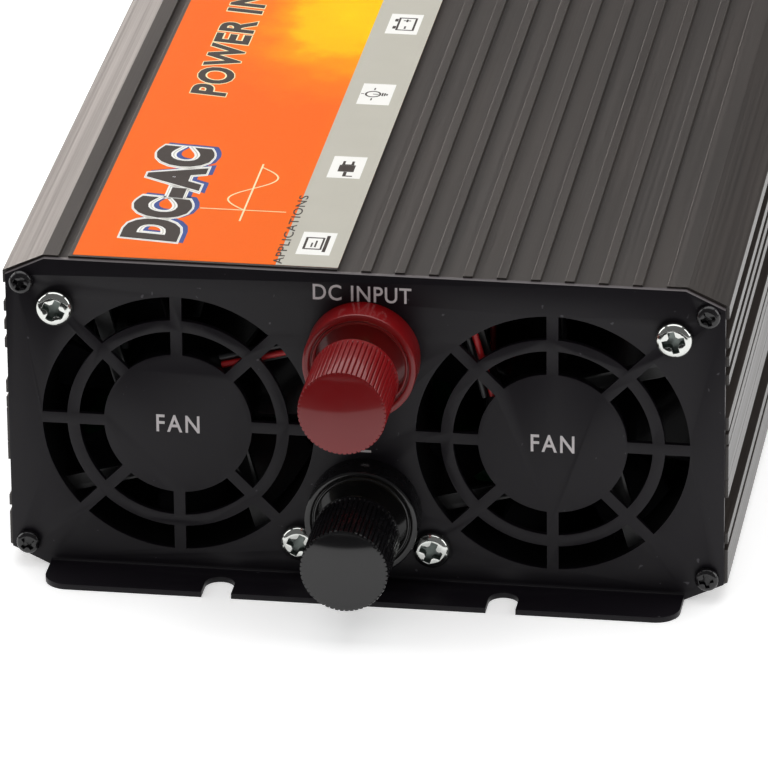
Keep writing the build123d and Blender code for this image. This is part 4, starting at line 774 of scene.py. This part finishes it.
def wave_symbol():
    """One full wave on its axis, with the cross line where it starts, drawn as thin cream strokes."""
    line, half_wave, swing = 0.2, 11.6, 4.3
    start_back, axis_x = 29.3, -29.3
    data = bpy.data.curves.new("wave_print", "CURVE")
    data.dimensions = "3D"
    data.bevel_depth = line
    data.bevel_resolution = 0
    strokes = [[(-5.8, 0.0), (24.9, 0.0)], [(0.0, 9.2), (0.0, -8.8)]]
    strokes.append([(2 * half_wave * t / 32, swing * math.sin(math.pi * t / 16)) for t in range(33)])
    for points in strokes:
        spline = data.splines.new("POLY")
        spline.points.add(len(points) - 1)
        for point, (along, up) in zip(spline.points, points):
            point.co = (along, up, 0.0, 1.0)
    holder = bpy.data.objects.new("wave_print", data)
    mesh = bpy.data.meshes.new_from_object(holder)
    bpy.data.objects.remove(holder)
    mesh.transform(Matrix.Diagonal((MM, MM, PRINT_THICKNESS / (2 * line), 1)))
    mesh.transform(on_label(axis_x, start_back, 0) @ Matrix.Translation((0, 0, PRINT_THICKNESS / 2)))
    keep("wave_print", mesh, "cream_ink")


wave_symbol()

# ---------------------------------------------------------------- print: mains end
SWITCH_LOW, SWITCH_HIGH = [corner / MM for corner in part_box("power_switch_frame")]
OUTLETS_X = (middle("left_outlet").x + middle("right_outlet").x) / 2 / MM
OUTLET_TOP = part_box("left_outlet")[1].z / MM
EARTH = middle("earth_screw") / MM

lettering(
    "AC OUTPUT", 3.2 * MM, on_back(OUTLETS_X, OUTLET_TOP + 4.6), "ac_output_print", "pad_print",
    width=23 * MM, bold=0.014, spacing=1.08,
)
several(
    "earth_print",
    [("bar", 0, 1.3, (0.4, 1.6)), ("bar", 0, 0.4, (3.0, 0.4)), ("bar", 0, -0.4, (2.0, 0.4)),
     ("bar", 0, -1.2, (1.0, 0.4))],
    on_back(EARTH.x - 8.0, EARTH.z), "pad_print",
)

switch_x = (SWITCH_LOW.x + SWITCH_HIGH.x) / 2
above, below = on_back(switch_x, SWITCH_HIGH.z + 2.4), on_back(switch_x, SWITCH_LOW.z - 2.4)
several("switch_on_print", [("bar", 0, 0, (0.5, 2.0))], above, "pad_print")
several("switch_off_print", [("ring", 0, 0, (1.1, 0.7))], below, "pad_print")


# ---------------------------------------------------------------- camera, floor and light
CAMERA_TURN = math.radians(8.817)
CAMERA_TILT = math.radians(24.128)
CAMERA_ROLL = math.radians(-0.604)
CAMERA_DISTANCE = 1.7149
CAMERA_TARGET = Vector((4.118 * MM, DC_FACE, 45 * MM))
CAMERA_LENS = 393.8


def camera():
    """A long lens, above and a little to the right of the battery end."""
    data = bpy.data.cameras.new("camera")
    data.lens = CAMERA_LENS
    data.sensor_width = 36
    data.clip_end = 50
    seat = bpy.data.objects.new("camera", data)
    bpy.context.scene.collection.objects.link(seat)
    towards = Vector(
        (
            math.sin(CAMERA_TURN) * math.cos(CAMERA_TILT),
            -math.cos(CAMERA_TURN) * math.cos(CAMERA_TILT),
            math.sin(CAMERA_TILT),
        )
    )
    aim = towards.to_track_quat("Z", "Y").to_matrix().to_4x4()
    place = Matrix.Translation(CAMERA_TARGET + CAMERA_DISTANCE * towards)
    seat.matrix_world = place @ aim @ Matrix.Rotation(CAMERA_ROLL, 4, "Z")
    bpy.context.scene.camera = seat


def softbox(name, place, aim, size, power, colour="#FFFFFF", shines=True):
    """A rectangular soft light turned towards a point, hidden from the camera and maybe reflections."""
    data = bpy.data.lights.new(name, "AREA")
    data.shape = "RECTANGLE"
    data.size, data.size_y = size
    data.energy = power
    data.color = linear(colour)[:3]
    lamp = bpy.data.objects.new(name, data)
    bpy.context.scene.collection.objects.link(lamp)
    lamp.visible_camera = False
    lamp.visible_glossy = shines
    direction = Vector(place) - Vector(aim)
    lamp.matrix_world = Matrix.Translation(place) @ direction.to_track_quat("Z", "Y").to_matrix().to_4x4()


def flat_sheet(name, size, centre, colour, darker, turn=0.0, glow=0.0):
    """A flat sheet of studio card lying level, lit from below where it glows."""
    shape = bmesh.new()
    bmesh.ops.create_grid(shape, x_segments=1, y_segments=1, size=1.0)
    spread = Matrix.Diagonal((size[0] / 2, size[1] / 2, 1, 1))
    place = Matrix.Rotation(math.radians(turn), 4, "Z") @ Matrix.Translation(centre) @ spread
    sheet = bpy.data.objects.new(name, to_mesh(shape, name, place))
    bpy.context.scene.collection.objects.link(sheet)
    material, tree, shader, coords = begin(name + "_card")
    fibre = add(tree, "TexNoise", {"Vector": coords, "Scale": 4.0}).outputs[0]
    tint = add(tree, "Mix", {0: fibre, 6: linear(darker), 7: linear(colour)}, data_type="RGBA").outputs[2]
    lit = {"Emission Color": linear("#FFFFFF"), "Emission Strength": glow}
    feed(tree, shader, {"Base Color": tint, "Roughness": 0.8, **lit})
    sheet.data.materials.append(material)
    return sheet


def studio_world():
    """A white backdrop for the eye, and a dim room for everything that reflects it."""
    world = bpy.data.worlds.new("studio")
    bpy.context.scene.world = world
    world.use_nodes = True
    tree = world.node_tree
    tree.nodes.clear()
    room = add(tree, "Background", {"Color": linear("#FFFFFF"), "Strength": 0.16})
    backdrop = add(tree, "Background", {"Color": linear("#FFFFFF"), "Strength": 1.0})
    seen = add(tree, "LightPath", {}).outputs["Is Camera Ray"]
    mixed = add(tree, "MixShader", {0: seen, 1: room.outputs[0], 2: backdrop.outputs[0]})
    add(tree, "OutputWorld", {"Surface": mixed.outputs[0]})


def studio():
    """White paper under soft boxes, with a black card in front that the front faces pick up: painted shade,
    hidden from the camera and from shadows, seen only in reflections and bounce light.
    """
    bpy.context.scene.view_settings.view_transform = "Standard"
    flat_sheet("studio_floor", (8.0, 8.0), (0, 0, 0), "#FAFAFA", "#F6F6F6", glow=0.42)
    start, deep = DC_FACE - 0.145, 1.2
    # The card is painted shade: the camera sees white floor there, while reflections and bounce light see
    # black.
    card = flat_sheet(
        "reflected_shade_card", (1.6, deep), (-0.11, start - deep / 2, 0.002), "#050505", "#040404", turn=-18
    )
    card.visible_camera = card.visible_shadow = card.visible_transmission = False
    studio_world()
    softbox("overhead", (0.0, 0.5, 1.6), (0, 0, 0), (2.4, 2.0), 27)
    softbox("front_fill", (-0.2, -1.9, 1.8), (0, -0.2, 0), (2.0, 1.0), 7, shines=False)
    softbox("back_left", (-1.05, 2.1, 0.35), (0, 0, 0.05), (1.4, 0.5), 9, "#FFF4EC")
    softbox("left_wall", (-1.6, 0.2, 0.8), (0, 0, 0), (1.4, 1.2), 13)
    softbox("right_wall", (1.6, 0.2, 0.8), (0, 0, 0), (1.4, 1.2), 13)


camera()
studio()
